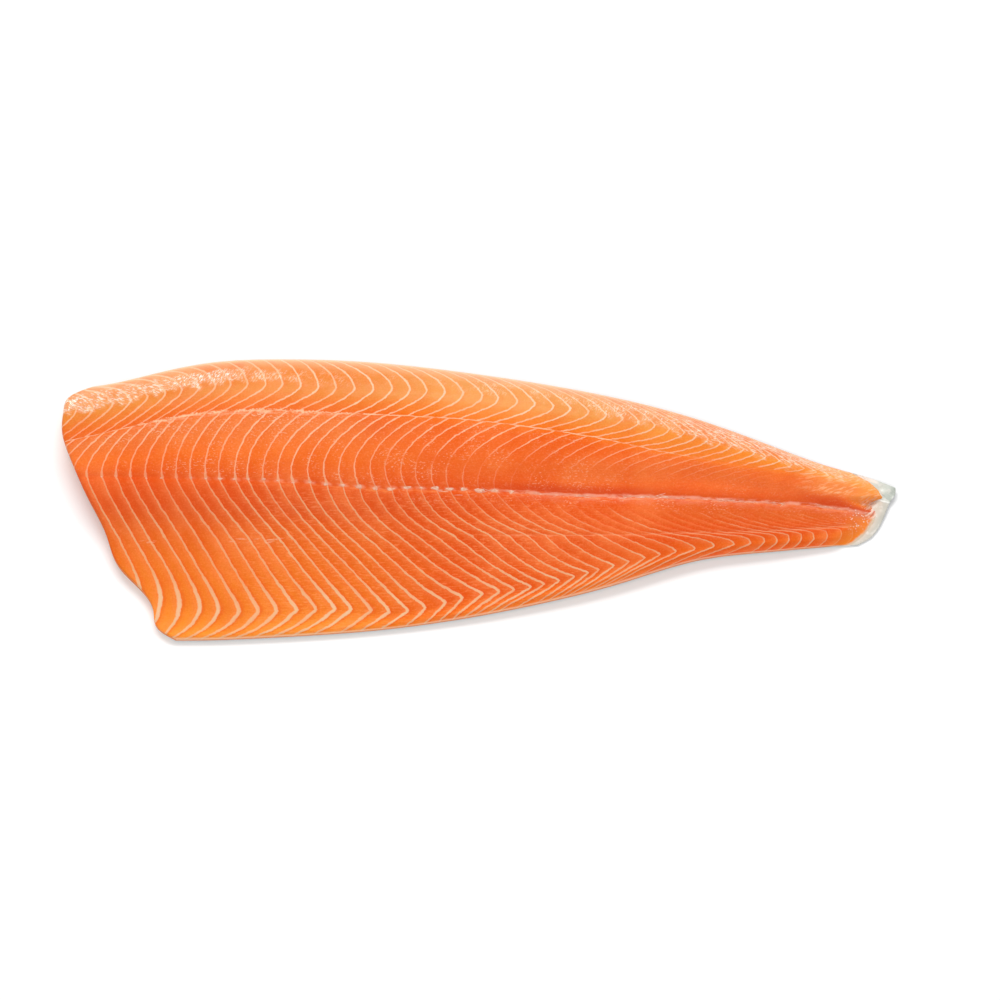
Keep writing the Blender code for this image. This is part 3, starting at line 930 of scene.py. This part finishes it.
fat_colour = paint.blend(across_place.ease(0.68, 0.80), fat_colour, FAT_AT_BACK_EDGE)
# A thin painted shadow just behind each fat sheet
behind = (signed - own_width * 1.6).stripe(own_width * 0.3, own_width * 1.3)
colour = paint.blend(behind * strength * (0.25 + 0.75 * belly_side) * 0.22, muscle, PAINTED_SHADOW_BESIDE_FAT)
colour = paint.blend(fat, colour, fat_colour)

# The back seam: a thin membrane where it is torn, and two strings that wave about each other
string_noise = paint.streaky(place, (120.0, 900.0, 300.0))
torn = lengthwise.between(*BACK_SEAM_TORN)
slow_wave = (paint.speckle(place, 50.0, 1.0) - 0.5) * 2.4 * (0.35 + 0.65 * torn)
seam_place = back_seam + wander * 1.6 + torn * fine_wander * 4.0
seam_width = 0.46 + 0.40 * torn - 0.22 * lengthwise.ease(*BACK_SEAM_NARROW_UNTIL)
first_string = (seam_place + slow_wave).stripe(0.08, seam_width)
second_string = (seam_place - slow_wave).stripe(0.04, seam_width * 0.8)
membrane = torn * (seam_place + 0.9).stripe(0.8, 2.4) * string_noise.ease(0.40, 0.58)
colour = paint.blend(membrane * 0.55, colour, BACK_MEMBRANE)
seam_line = first_string.most(second_string)
seam_line = seam_line * string_noise.ease(0.33, 0.55) * lengthwise.ease(*BACK_SEAM_UNTIL)
colour = paint.blend(seam_line * 0.85, colour, BACK_STRINGS)

# The belly seam: a faint broken line toward the tail, and scuffs on it near the collar
belly_line = (belly_seam + wander * 2.4).stripe(0.1, 0.9) * string_noise.ease(0.35, 0.62)
colour = paint.blend(belly_line * lengthwise.ease(*BELLY_SEAM_FROM) * 0.35, colour, BELLY_LINE)

# The red muscle over the midline, darkened further by painted shade on the crease's upper bank,
# the groove of the midline itself with painted shade in it, and the thin tissue that is left
# along it
reddest = lengthwise.ease(*REDDEST_UNTIL).most(lengthwise.ease(*REDDEST_AGAIN_FROM))
# Painted shade on the crease's upper bank, over muscle that is redder there
red_and_shade_zone = midline.between(0.2, 1.6, 3.0, 9.0) * lengthwise.ease(*RED_FROM)
colour = paint.blend(red_and_shade_zone * (0.22 + 0.42 * reddest), colour, RED_MUSCLE_AND_CREASE_SHADE)
groove_noise = paint.streaky(place, (90.0, 500.0, 300.0))
groove_place = midline + wander * 4.0
# Painted shade in the groove along the midline
groove = groove_place.stripe(0.2, 1.1) * lengthwise.ease(*GROOVE_SHADE_FROM)
colour = paint.blend(groove * groove_noise.ease(0.44, 0.60) * 0.40, colour, PAINTED_GROOVE_SHADE)
below_groove = (groove_place + 1.8).stripe(0.2, 1.2) * lengthwise.ease(*PALE_GROOVE_FROM)
colour = paint.blend(below_groove * groove_noise.ease(0.56, 0.42) * 0.34, colour, PALE_GROOVE)
tissue_noise = paint.streaky(place, (110.0, 460.0, 300.0), 4.0, 0.65)
tissue_place = midline + wander * 2.2
tissue = tissue_place.stripe(0.3, 1.7) * lengthwise.ease(*TISSUE_FROM)
tissue = tissue * tissue_noise.ease(0.36, 0.54)
haze = (tissue_place + 2.2).stripe(1.0, 5.0) * lengthwise.ease(*TISSUE_HAZE_FROM)
haze = haze * tissue_noise.ease(0.30, 0.66)
colour = paint.blend(haze * 0.36, colour, MIDLINE_HAZE)
colour = paint.blend(tissue * 0.60, colour, MIDLINE_TISSUE)
knot_haze = (midline + wander * 3.0).stripe(0.2, 1.9)
knot_haze = knot_haze * signed.size().ease(4.6, 1.6) * tissue_noise.ease(0.34, 0.52)
knot_haze = knot_haze * lengthwise.ease(*KNOT_HAZE_FROM) * lengthwise.ease(*KNOT_HAZE_UNTIL)
colour = paint.blend(knot_haze * 0.6, colour, KNOT_HAZE)

# Pale rims along both edges, and the cut wall
colour = paint.blend(across_place.ease(0.965, 0.992) * 0.55, colour, BACK_RIM)
colour = paint.blend(across_place.ease(0.012, 0.0) * 0.6, colour, BELLY_RIM)
colour = paint.blend(depth.ease(0.0, 1.5) * 0.15, colour, CUT_WALL)

# The tail end: orange near the cut, a streaky pale lobe at the back, a thin translucent end
# on the belly side, and pale strands in the notch at the midline with painted shade between them
ragged_cut = to_tail_cut + wander * 5.0
tail_orange = ragged_cut.ease(24.0, 4.0) * midline.size().ease(1.0, 6.0)
colour = paint.blend(tail_orange * 0.75, colour, TAIL_ORANGE)
lobe_noise = paint.streaky(paint.turned(place, -0.30), (130.0, 800.0, 300.0))
lobe = lengthwise.ease(*LOBE_FROM) * midline.ease(6.0, 11.0)
colour = paint.blend(lobe * 0.40, colour, TAIL_LOBE)
colour = paint.blend(lobe * lobe_noise.ease(0.50, 0.66) * 0.55, colour, LOBE_STREAKS)
thin_end = ragged_cut.ease(3.2, 0.3) * midline.ease(1.0, -4.0)
colour = paint.blend(thin_end * 0.96, colour, THIN_END)
notch_noise = paint.streaky(paint.turned(place, -0.65), (140.0, 700.0, 300.0))
notch = to_tail_cut.ease(9.0, 2.0) * midline.ease(-5.0, -1.0) * midline.ease(10.0, 6.0)
colour = paint.blend(notch * depth.ease(0.0, 0.6) * 0.7, colour, NOTCH_WALL)
# Painted shade between the pale strands
colour = paint.blend(notch * notch_noise.ease(0.50, 0.40) * 0.22, colour, PAINTED_NOTCH_SHADE)
colour = paint.blend(notch * notch_noise.ease(0.46, 0.60) * 0.85, colour, NOTCH_STRANDS)

# Small pale flecks of connective tissue on the thick back muscle, and scuffs at the belly
# seam near the collar
fleck_noise = paint.streaky(place, (560.0, 1050.0, 500.0), 2.0, 0.65)
fleck_patches = 0.18 + 0.82 * paint.speckle(place, 50.0, 2.0, 0.6).ease(0.44, 0.62)
flecks = fleck_noise.ease(0.55, 0.66) * fleck_patches * flecked
colour = paint.blend(flecks * 0.62, colour, FLECKS)
scuffs = (belly_seam + wander * 5.0).stripe(0.4, 2.2) * lengthwise.ease(*SCUFFS_UNTIL)
scuffs = scuffs * paint.speckle(place, 60.0, 1.0).ease(0.50, 0.62)
scuffs = scuffs * paint.streaky(place, (160.0, 700.0, 300.0), 3.0, 0.5).ease(0.50, 0.64)
colour = paint.blend(scuffs * 0.6, colour, SCUFFS)

# Wet film on the back ridge: a pale haze that is partly painted sheen, and thin streaks of
# painted glints on pale membrane, which run steeply up in the middle part and along the edge
# toward both ends, and a net of crinkles; painted glints on small beads at the tail end
steep = paint.streaky(paint.turned(place, -1.0), (420.0, 1250.0, 500.0), 2.0)
edgewise = paint.streaky(paint.turned(place, 0.33), (300.0, 1250.0, 500.0), 2.0)
near_ends = lengthwise.ease(*LEVEL_STREAKS_FROM).most(lengthwise.ease(*LEVEL_STREAKS_UNTIL))
streaks = steep + (edgewise - steep) * near_ends
crinkles = paint.streaky(place, (190.0, 300.0, 220.0))
net = (paint.math("FRACT", crinkles * 8.0) - 0.5).size().ease(0.26, 0.08)
beads = 1.0 - paint.cells(paint.stretched(place, (480.0, 600.0, 480.0)), 1.0).ease(0.18, 0.36)
film_patches = paint.speckle(place, 110.0, 3.0, 0.6)
shown_patches = (film_patches + 0.24 * wet).ease(0.46, 0.70)
film = wet * shown_patches * streaks.ease(0.51, 0.59).most(net * 0.2)
film = film.most(beaded * beads * film_patches.ease(0.36, 0.52))
# Partly painted sheen and partly pale fat, then painted glints over pale membrane and beads
colour = paint.blend(wet * (0.13 + 0.25 * shown_patches), colour, PAINTED_SHEEN_AND_PALE_FAT)
colour = paint.blend(film * 0.95, colour, PAINTED_GLINTS_AND_MEMBRANE)

# Relief, in millimetres: faint ridges at the fat sheets, fibre grain, small ripples that
# glint, and the streaks and crinkles of the wet film
ripples = paint.speckle(place, 330.0, 3.0, 0.55)
grain = paint.speckle(place, 1500.0, 2.0, 0.5)
height = 0.08 * fat + 0.10 * fibrous * fibres + (0.06 + 0.25 * wet) * ripples + 0.02 * grain
height = height + 0.25 * seam_line * string_noise + 0.22 * film + 0.25 * tissue + 0.08 * flecks
height = height + wet * (0.42 * streaks + 0.12 * crinkles)
paint.feed(shader, {
    "Base Color": colour,
    "Roughness": 0.36 + 0.12 * paint.speckle(place, 240.0) + 0.06 * fat,
    "Coat Weight": 0.04 + 0.70 * wet.ease(0.30, 0.95).most(beaded),
    "Normal": paint.bumped(height, MM),
    "Subsurface Weight": 0.25,
    "Subsurface Radius": (1.0, 0.35, 0.15),
    "Subsurface Scale": 0.003,
    "Specular IOR Level": 0.12,
    "Coat Roughness": 0.10,
    "IOR": 1.38,
})
flesh.data.materials.append(raw_flesh)
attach(flesh, "root")
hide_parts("flesh")


# ---------------------------------------------------------------------------------------
# Midline tissue: pinkish white threads and knots of connective tissue where the flesh came
# off the backbone, lying in the crease from the collar to the tail, one knot a vertebra.
# ---------------------------------------------------------------------------------------

# Long strands from the middle to the tail, with their thinnest radius in millimetres
STRAND_COUNT = 3
STRAND_RINGS = 440
STRAND_SIDES = 8
STRAND_FROM = 12.0 * MM
STRAND_TO = 260.0 * MM
STRAND_STARTS_OVER = 25.0 * MM
STRAND_ENDS_OVER = 12.0 * MM
STRAND_THINS_FROM = 150.0 * MM
STRAND_THIN_BY = 190.0 * MM
LEAST_STRAND_RADIUS = 0.03
THREAD_FLATNESS = 0.6

# Short wisps beside the strands, and a fan of them at the tail end
WISP_COUNT = 36
WISP_RINGS = 14
WISP_SIDES = 6
WISPS_FROM = -30.0 * MM
WISPS_TO = 252.0 * MM
FAN_COUNT = 12

# Knots from the collar to the middle, with their size by place and the height at size 1
KNOT_RINGS = 8
KNOT_SIDES = 10
KNOTS_FROM = -262.0 * MM
KNOTS_TO = 34.0 * MM
KNOT_PLACES = np.array([-260, -200, -120, -80, 30]) * MM
KNOT_SIZES = np.array([0.35, 0.6, 0.95, 1.5, 1.4])
KNOT_HEIGHT = 0.14 * MM
KNOT_TIP_ANGLE = 0.04


def flesh_top_at(x, y):
    """Height of the flesh's upper face at X and Y: underside, thickness and midline crease."""
    raw_x = x + plan_shift[0]
    raw_y = y + plan_shift[1]
    back, belly = edges_at(raw_x)
    share = np.clip((raw_y - belly) / (back - belly), 0.0, 1.0)
    head = smooth_curve(share, COLLAR_SHARES, COLLAR_CUT)
    tail = smooth_curve(share, FLESH_TAIL_SHARES, FLESH_TAIL)
    thick = flesh_thickness(raw_x, share, np.maximum(back - raw_y, 0.0),
                            np.maximum(raw_y - belly, 0.0),
                            np.maximum(raw_x - head, 0.0), np.maximum(tail - raw_x, 0.0))
    thick = thick - crease(x / MM, (raw_y - seams_at(raw_x)[3]) / MM) * MM
    under = underside_height(raw_x, raw_y, back, belly)
    return under + SKIN_THICKNESS - FLESH_INTO_SKIN + thick - plan_shift[2]


def midline_y(x):
    """Y of the midline crease at each X of the frame."""
    return seams_at(x + plan_shift[0])[3] - plan_shift[1]


def tube_faces(rings, sides, pieces):
    """Quads of several closed tubes, each with the given rings and sides."""
    ring, side = np.meshgrid(np.arange(rings - 1), np.arange(sides), indexing="ij")
    beside = (side + 1) % sides
    one = np.stack([ring * sides + side, ring * sides + beside,
                    (ring + 1) * sides + beside, (ring + 1) * sides + side], axis=-1)
    starts = np.arange(pieces)[:, None, None] * rings * sides
    return (one.reshape(1, -1, 4) + starts).reshape(-1, 4)


def end_caps(rings, sides, pieces):
    """The polygons that close the first and the last ring of each tube."""
    starts = np.arange(pieces)[:, None] * rings * sides
    first = starts + np.arange(sides)[None, :]
    last = starts + ((rings - 1) * sides + np.arange(sides)[::-1])[None, :]
    return first.tolist() + last.tolist()


def closed_tubes(path_x, path_y, path_z, radius, sides, flatness):
    """Closed flattened tubes: an ellipse of each ring's radius, carried along each path.

    Paths are given as one row of rings for each tube; returns the points and the faces."""
    turn = np.linspace(0.0, 2.0 * math.pi, sides, endpoint=False)
    y = path_y[..., None] + radius[..., None] * np.cos(turn)
    z = path_z[..., None] + radius[..., None] * np.sin(turn) * flatness
    x = np.broadcast_to(path_x[..., None], y.shape)
    pieces, rings = path_x.shape
    faces = tube_faces(rings, sides, pieces)[:, ::-1].tolist() + end_caps(rings, sides, pieces)
    return np.stack([x, y, z], axis=-1).reshape(-1, 3), faces


def spindle(run):
    """Radius share along a wisp: half a circle, 1 in the middle and a tenth at both ends."""
    return np.sqrt(np.clip(1.0 - run ** 2, 0.01, 1.0))


# Long strands: each waves about the midline and swells and thins at random along its way
draw = np.random.default_rng(23)
strand_x = np.broadcast_to(np.linspace(STRAND_FROM, STRAND_TO, STRAND_RINGS),
                           (STRAND_COUNT, STRAND_RINGS)).copy()
which = np.arange(STRAND_COUNT)[:, None] * np.ones((1, STRAND_RINGS))
strand_wave = swells(strand_x, which * 3.7 * MM, 10, 9.0 * MM, 60.0 * MM, 41)
strand_y = midline_y(strand_x) + (np.array([0.1, -0.4, -0.9])[:, None] + 0.45 * strand_wave) * MM
strand_swell = swells(strand_x, which * 5.1 * MM, 14, 3.0 * MM, 16.0 * MM, 42)
strand_fine = swells(strand_x, which * 2.3 * MM, 10, 1.8 * MM, 4.0 * MM, 43)
strand_radius = 0.05 + 0.24 * np.clip(strand_swell - 0.1, 0.0, 1.6) + 0.05 * strand_fine
end_taper = (smooth_step((strand_x - STRAND_FROM) / STRAND_STARTS_OVER)
             * smooth_step((STRAND_TO - strand_x) / STRAND_ENDS_OVER))
strand_thins = 1.0 - 0.4 * sets_in(strand_x, STRAND_THINS_FROM, STRAND_THIN_BY)
strand_radius = np.clip(strand_radius * end_taper * strand_thins, LEAST_STRAND_RADIUS, None) * MM
strand_sink = -0.25 * strand_radius - 0.10 * MM * (1.0 - end_taper)
strand_z = flesh_top_at(strand_x, strand_y) + strand_sink
strand_points, strand_faces = closed_tubes(strand_x, strand_y, strand_z, strand_radius,
                                           STRAND_SIDES, THREAD_FLATNESS)

# Short wisps that leave the strands at a small angle
wisp_middle = np.sort(draw.uniform(WISPS_FROM, WISPS_TO, WISP_COUNT))[:, None]
wisp_run = np.linspace(-1.0, 1.0, WISP_RINGS)[None, :]
wisp_x = wisp_middle + wisp_run * draw.uniform(2.0, 6.0, (WISP_COUNT, 1)) * MM
wisp_y = (midline_y(wisp_x) + draw.normal(-0.3, 0.9, (WISP_COUNT, 1)) * MM
          + wisp_run * draw.normal(0.0, 0.9, (WISP_COUNT, 1)) * MM
          + wisp_run ** 2 * draw.normal(0.0, 0.7, (WISP_COUNT, 1)) * MM)
wisp_radius = spindle(wisp_run) * draw.uniform(0.12, 0.26, (WISP_COUNT, 1)) * MM

# A fan of torn tissue where the midline runs out over the bare skin at the tail
fan_run = wisp_run * np.ones((FAN_COUNT, 1))
fan_x = (draw.uniform(266.0, 272.0, (FAN_COUNT, 1)) + 4.0 * fan_run) * MM
fan_y = (draw.uniform(-7.0, -1.0, (FAN_COUNT, 1)) + 3.0 * fan_run
         + fan_run ** 2 * draw.normal(0.0, 0.8, (FAN_COUNT, 1))) * MM
fan_radius = spindle(fan_run) * draw.uniform(0.14, 0.28, (FAN_COUNT, 1)) * MM
wisp_x = np.concatenate([wisp_x, fan_x])
wisp_y = np.concatenate([wisp_y, fan_y])
wisp_radius = np.concatenate([wisp_radius, fan_radius])
wisp_z = flesh_top_at(wisp_x, wisp_y) - 0.2 * wisp_radius
wisp_points, wisp_faces = closed_tubes(wisp_x, wisp_y, wisp_z, wisp_radius, WISP_SIDES,
                                       THREAD_FLATNESS)
wisp_faces = [[corner + len(strand_points) for corner in face] for face in wisp_faces]
midline_threads = new_piece("midline_threads", np.concatenate([strand_points, wisp_points]),
                            strand_faces + wisp_faces)

# Knots: a low lumpy ellipsoid where each fat sheet meets the midline, larger toward the middle
knot_x = by_sheet(AT_MIDLINE)
knot_x = knot_x[(knot_x > KNOTS_FROM) & (knot_x < KNOTS_TO)]
knot_draw = np.random.default_rng(31)
knot_count = len(knot_x)
knot_size = np.interp(knot_x, KNOT_PLACES, KNOT_SIZES)
knot_half_x = knot_size * knot_draw.uniform(1.1, 2.4, knot_count) * MM
knot_half_y = knot_size * knot_draw.uniform(0.60, 0.95, knot_count) * MM
from_tip = np.linspace(KNOT_TIP_ANGLE, math.pi - KNOT_TIP_ANGLE, KNOT_RINGS)
around = np.linspace(0, 2 * math.pi, KNOT_SIDES, endpoint=False)
latitude, longitude = np.meshgrid(from_tip, around, indexing="ij")
lumps = 1.0 + 0.22 * np.sin(3.0 * longitude[None] + 2.0 * latitude[None]
                            + knot_draw.uniform(0, 6, knot_count)[:, None, None])
knot_points_x = knot_x[:, None, None] + (np.sin(latitude) * np.cos(longitude) * lumps
                                         * knot_half_x[:, None, None])
knot_centre_y = midline_y(knot_x) + knot_draw.normal(0.0, 0.5, knot_count) * MM
knot_points_y = knot_centre_y[:, None, None] + (np.sin(latitude) * np.sin(longitude) * lumps
                                                * knot_half_y[:, None, None])
knot_points_z = (flesh_top_at(knot_points_x, knot_points_y)
                 + np.cos(latitude) * KNOT_HEIGHT * knot_size[:, None, None])
knot_points = np.stack([knot_points_x, knot_points_y, knot_points_z], axis=-1).reshape(-1, 3)
knot_faces = tube_faces(KNOT_RINGS, KNOT_SIDES, knot_count)[:, ::-1].tolist()
knot_faces += end_caps(KNOT_RINGS, KNOT_SIDES, knot_count)
midline_knots = new_piece("midline_knots", knot_points, knot_faces)

TISSUE_DEEP = tint(228, 142, 108)
TISSUE_PALE = tint(240, 180, 152)
TISSUE_SHINE = tint(250, 214, 194)

connective, paint, shader = new_finish("connective tissue")
place = paint.node("ShaderNodeTexCoord", out="Object")
mottle = paint.speckle(place, 500.0, 3.0, 0.6)
colour = paint.blend(mottle.ease(0.36, 0.64), TISSUE_DEEP, TISSUE_PALE)
shine = paint.streaky(place, (240.0, 900.0, 400.0), 2.0)
colour = paint.blend(shine.ease(0.56, 0.68) * 0.6, colour, TISSUE_SHINE)
paint.feed(shader, {
    "Base Color": colour,
    "Normal": paint.bumped(mottle, 0.3 * MM, 0.4),
    "Roughness": 0.32,
    "Subsurface Weight": 0.3,
    "Subsurface Radius": (1.0, 0.5, 0.35),
    "Subsurface Scale": 0.002,
    "Coat Weight": 0.4,
    "Coat Roughness": 0.15,
})
for piece in (midline_threads, midline_knots):
    piece.data.materials.append(connective)
    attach(piece, "root")


# ---------------------------------------------------------------------------------------
# Skin: a thin tough sheet under the whole fillet, silver with fine scales outside, darker
# toward the back. It runs out bare past the flesh at the tail, where its inner side shows.
# ---------------------------------------------------------------------------------------

SKIN_STATIONS = 300
SKIN_ROWS = 72
STATIONS_CROWD_TO_TAIL = 1.25
BARE_FROM = 262.0 * MM
BARE_FULL = 276.0 * MM
BARE_RIPPLE = 0.25 * MM
BARE_THINNER = 0.35
SKIN_SHARP_ANGLE = math.radians(60.0)

skin_along = 1.0 - (1.0 - np.linspace(0.0, 1.0, SKIN_STATIONS)) ** STATIONS_CROWD_TO_TAIL
skin_across = np.linspace(0.0, 1.0, SKIN_ROWS)
skin_along, skin_across = np.meshgrid(skin_along, skin_across, indexing="ij")
skin_x = plan_x(skin_along, skin_across, SKIN_TAIL_SHARES, SKIN_TAIL)
skin_x = skin_x - SKIN_MARGIN * (1.0 - skin_along)
skin_back, skin_belly = edges_at(skin_x)
skin_back = skin_back + SKIN_MARGIN
skin_belly = skin_belly - SKIN_MARGIN
skin_y = skin_belly + skin_across * (skin_back - skin_belly)
bare = sets_in(skin_x, BARE_FROM, BARE_FULL)
skin_z = underside_height(skin_x, skin_y, skin_back, skin_belly)
skin_z = skin_z + BARE_RIPPLE * bare * (1.0 + swells(skin_x, skin_y, 8, 5.0 * MM, 16.0 * MM, 9))
skin_thickness = SKIN_THICKNESS * (1.0 - BARE_THINNER * bare)
lower_face = np.stack([skin_x, skin_y, skin_z], axis=-1) - plan_shift
upper_face = lower_face.copy()
upper_face[..., 2] += skin_thickness
skin_number = np.arange(skin_x.size).reshape(skin_x.shape)
skin_quads = grid_faces(skin_number)
upper_quads = skin_quads + skin_x.size
skin_rim = border_of(skin_number)
skin_faces = skin_quads[:, ::-1].tolist() + upper_quads.tolist()
skin_faces += ring_faces(skin_rim + skin_x.size, skin_rim).tolist()
skin_points = np.concatenate([lower_face.reshape(-1, 3), upper_face.reshape(-1, 3)])
inner_side = np.concatenate([np.zeros(skin_x.size), np.ones(skin_x.size)])
back_share = np.concatenate([skin_across.ravel()] * 2)
end_gap = (1.0 - skin_along) * (skin_x[-1:] - skin_x[:1]) / MM
skin = new_piece("skin_sheet", skin_points, skin_faces, {
    "inner_side": inner_side,
    "back_share": back_share,
    "end_gap": np.concatenate([end_gap.ravel()] * 2),
})
skin.data.set_sharp_from_angle(angle=SKIN_SHARP_ANGLE)

# Outer side from belly (0) to back (1), then the marks on it
OUTER_TONES = [(0.00, tint(214, 214, 208)), (0.40, tint(200, 204, 202)), (0.58, tint(168, 176, 176)),
               (0.72, tint(96, 106, 108)), (1.00, tint(52, 60, 62))]
SCALE_EDGES = tint(70, 78, 80)
SPOTS = tint(26, 30, 32)

# Inner side: the flaps below and above the fold that runs out from the midline, the end of
# each, and the marks on them
LOWER_FLAP = tint(216, 198, 181)
LOWER_FLAP_END = tint(194, 190, 178)
UPPER_FLAP = tint(202, 206, 196)
UPPER_FLAP_END = tint(178, 184, 174)
PALE_FILM = tint(236, 230, 222)
FOLD = tint(246, 244, 238)
BACK_STRIP = tint(240, 226, 214)
SKIN_RIM = tint(140, 142, 134)
WRINKLES = tint(150, 156, 146)
FLESH_BEHIND = tint(238, 158, 104)
FOLD_SHARE = 0.69

# The gap is the distance from the skin's tail end, in millimetres
fish_skin, paint, shader = new_finish("fish skin")
place = paint.node("ShaderNodeTexCoord", out="Object")
inner = paint.stored("inner_side")
toward_back = paint.stored("back_share")
gap = paint.stored("end_gap")

# Outer side: silver scales, dark spots near the back
scale_place = paint.stretched(place, (330.0, 420.0, 0.0))
scale_cells = paint.cells(scale_place, 1.0, "F1", 0.35)
scale_edges = paint.cells(scale_place, 1.0, "DISTANCE_TO_EDGE", 0.35)
outer_tone = paint.node("ShaderNodeValToRGB", {"stops": OUTER_TONES},
                        {0: toward_back + 0.06 * (paint.speckle(place, 40.0) - 0.5)})
outer_tone = paint.blend(0.35 * (1.0 - scale_edges.ease(0.0, 0.12)), outer_tone, SCALE_EDGES)
spots = 1.0 - paint.cells(place, 60.0).ease(0.10, 0.20)
spots = spots * toward_back.ease(0.62, 0.72) * paint.speckle(place, 30.0).ease(0.45, 0.6)
outer_tone = paint.blend(spots * 0.8, outer_tone, SPOTS)

# Inner side, bare at the tail: two flaps with a pale fold between them, a pale strip along
# the back edge, and the colour of the flesh where it lies on the skin
upper_flap = (toward_back + 0.06 * (paint.speckle(place, 120.0) - 0.5)).ease(0.66, 0.72)
lower_tone = paint.blend(gap.ease(8.0, 1.0), LOWER_FLAP, LOWER_FLAP_END)
upper_tone = paint.blend(gap.ease(9.0, 1.0), UPPER_FLAP, UPPER_FLAP_END)
inner_tone = paint.blend(upper_flap, lower_tone, upper_tone)
pale_film = paint.speckle(place, 260.0, 3.0).ease(0.48, 0.68) * 0.45
inner_tone = paint.blend(pale_film, inner_tone, PALE_FILM)
fold_wander = 0.05 * (paint.speckle(place, 160.0) - 0.5)
fold = (toward_back - FOLD_SHARE + fold_wander).stripe(0.004, 0.022)
inner_tone = paint.blend(fold * 0.7, inner_tone, FOLD)
back_strip = toward_back.ease(0.93, 0.96) * gap.ease(10.0, 16.0)
inner_tone = paint.blend(back_strip * 0.8, inner_tone, BACK_STRIP)
inner_tone = paint.blend(gap.ease(1.2, 0.2) * 0.25, inner_tone, SKIN_RIM)
wrinkles = paint.streaky(paint.turned(place, 0.7), (160.0, 520.0, 300.0))
inner_tone = paint.blend(upper_flap * wrinkles.ease(0.46, 0.34) * 0.45, inner_tone, WRINKLES)
under_flesh = gap.ease(16.0, 24.0) * (1.0 - back_strip * gap.ease(40.0, 32.0))
inner_tone = paint.blend(under_flesh, inner_tone, FLESH_BEHIND)
skin_ripple = paint.speckle(place, 260.0, 3.0, 0.6)
skin_height = (1.0 - inner) * 0.10 * scale_cells + (0.25 * skin_ripple + 0.2 * fold) * inner
skin_height = skin_height + 0.5 * upper_flap * wrinkles * inner
paint.feed(shader, {
    "Base Color": paint.blend(inner, outer_tone, inner_tone),
    "Metallic": (1.0 - inner) * 0.35,
    "Roughness": 0.30 + 0.12 * skin_ripple,
    "Normal": paint.bumped(skin_height, MM),
    "Coat Weight": 0.4 - 0.4 * under_flesh * inner,
    "Specular IOR Level": 0.3,
    "Coat Roughness": 0.15,
})
skin.data.materials.append(fish_skin)
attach(skin, "root")
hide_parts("skin")


# ---------------------------------------------------------------------------------------
# Setting: a plain pale floor, soft studio light from behind and above, and the camera. It is
# there only to show the fillet.
# ---------------------------------------------------------------------------------------

FLOOR_REACH = 4.0
floor_corners = np.array([[-1, -1, 0], [1, -1, 0], [1, 1, 0], [-1, 1, 0]]) * FLOOR_REACH
floor = new_piece("floor", floor_corners, [[0, 1, 2, 3]])
pale, paint, shader = new_finish("pale floor")
paint.feed(shader, {"Base Color": (0.93, 0.93, 0.93, 1.0), "Roughness": 0.9})
floor.data.materials.append(pale)

world = bpy.data.worlds.new("studio")
world.use_nodes = True
background = world.node_tree.nodes["Background"]
background.inputs["Color"].default_value = (1.0, 1.0, 1.0, 1.0)
background.inputs["Strength"].default_value = 0.78
bpy.context.scene.world = world


def soft_light(name, position, aim, width, depth, power):
    """A rectangular area light at a position, turned to face its aim."""
    lamp = bpy.data.lights.new(name, "AREA")
    lamp.shape = "RECTANGLE"
    lamp.size = width
    lamp.size_y = depth
    lamp.energy = power
    thing = bpy.data.objects.new(name, lamp)
    thing.location = position
    away = np.array(position) - np.array(aim)
    tilt = math.atan2(math.hypot(away[0], away[1]), away[2])
    thing.rotation_euler = (tilt, 0.0, math.atan2(away[0], -away[1]))
    bpy.context.scene.collection.objects.link(thing)


soft_light("back_softbox", position=(-0.15, 1.15, 1.25), aim=(0.0, 0.0, 0.0),
           width=1.1, depth=0.4, power=18.0)
soft_light("overhead_softbox", position=(0.0, -0.9, 1.7), aim=(0.0, 0.0, 0.0),
           width=1.4, depth=0.9, power=3.0)

VIEW_ELEVATION = math.radians(78.0)
VIEW_DISTANCE = 2.4
VIEW_SHIFT = 0.0145
camera_data = bpy.data.cameras.new("camera")
camera_data.lens = 125.0
camera_data.sensor_width = 36.0
camera_data.dof.use_dof = False
camera = bpy.data.objects.new("camera", camera_data)
camera.location = (VIEW_SHIFT, -VIEW_DISTANCE * math.cos(VIEW_ELEVATION),
                   VIEW_DISTANCE * math.sin(VIEW_ELEVATION))
camera.rotation_euler = (math.pi / 2.0 - VIEW_ELEVATION, 0.0, 0.0)
bpy.context.scene.collection.objects.link(camera)
bpy.context.scene.camera = camera
bpy.context.scene.view_settings.view_transform = "Standard"
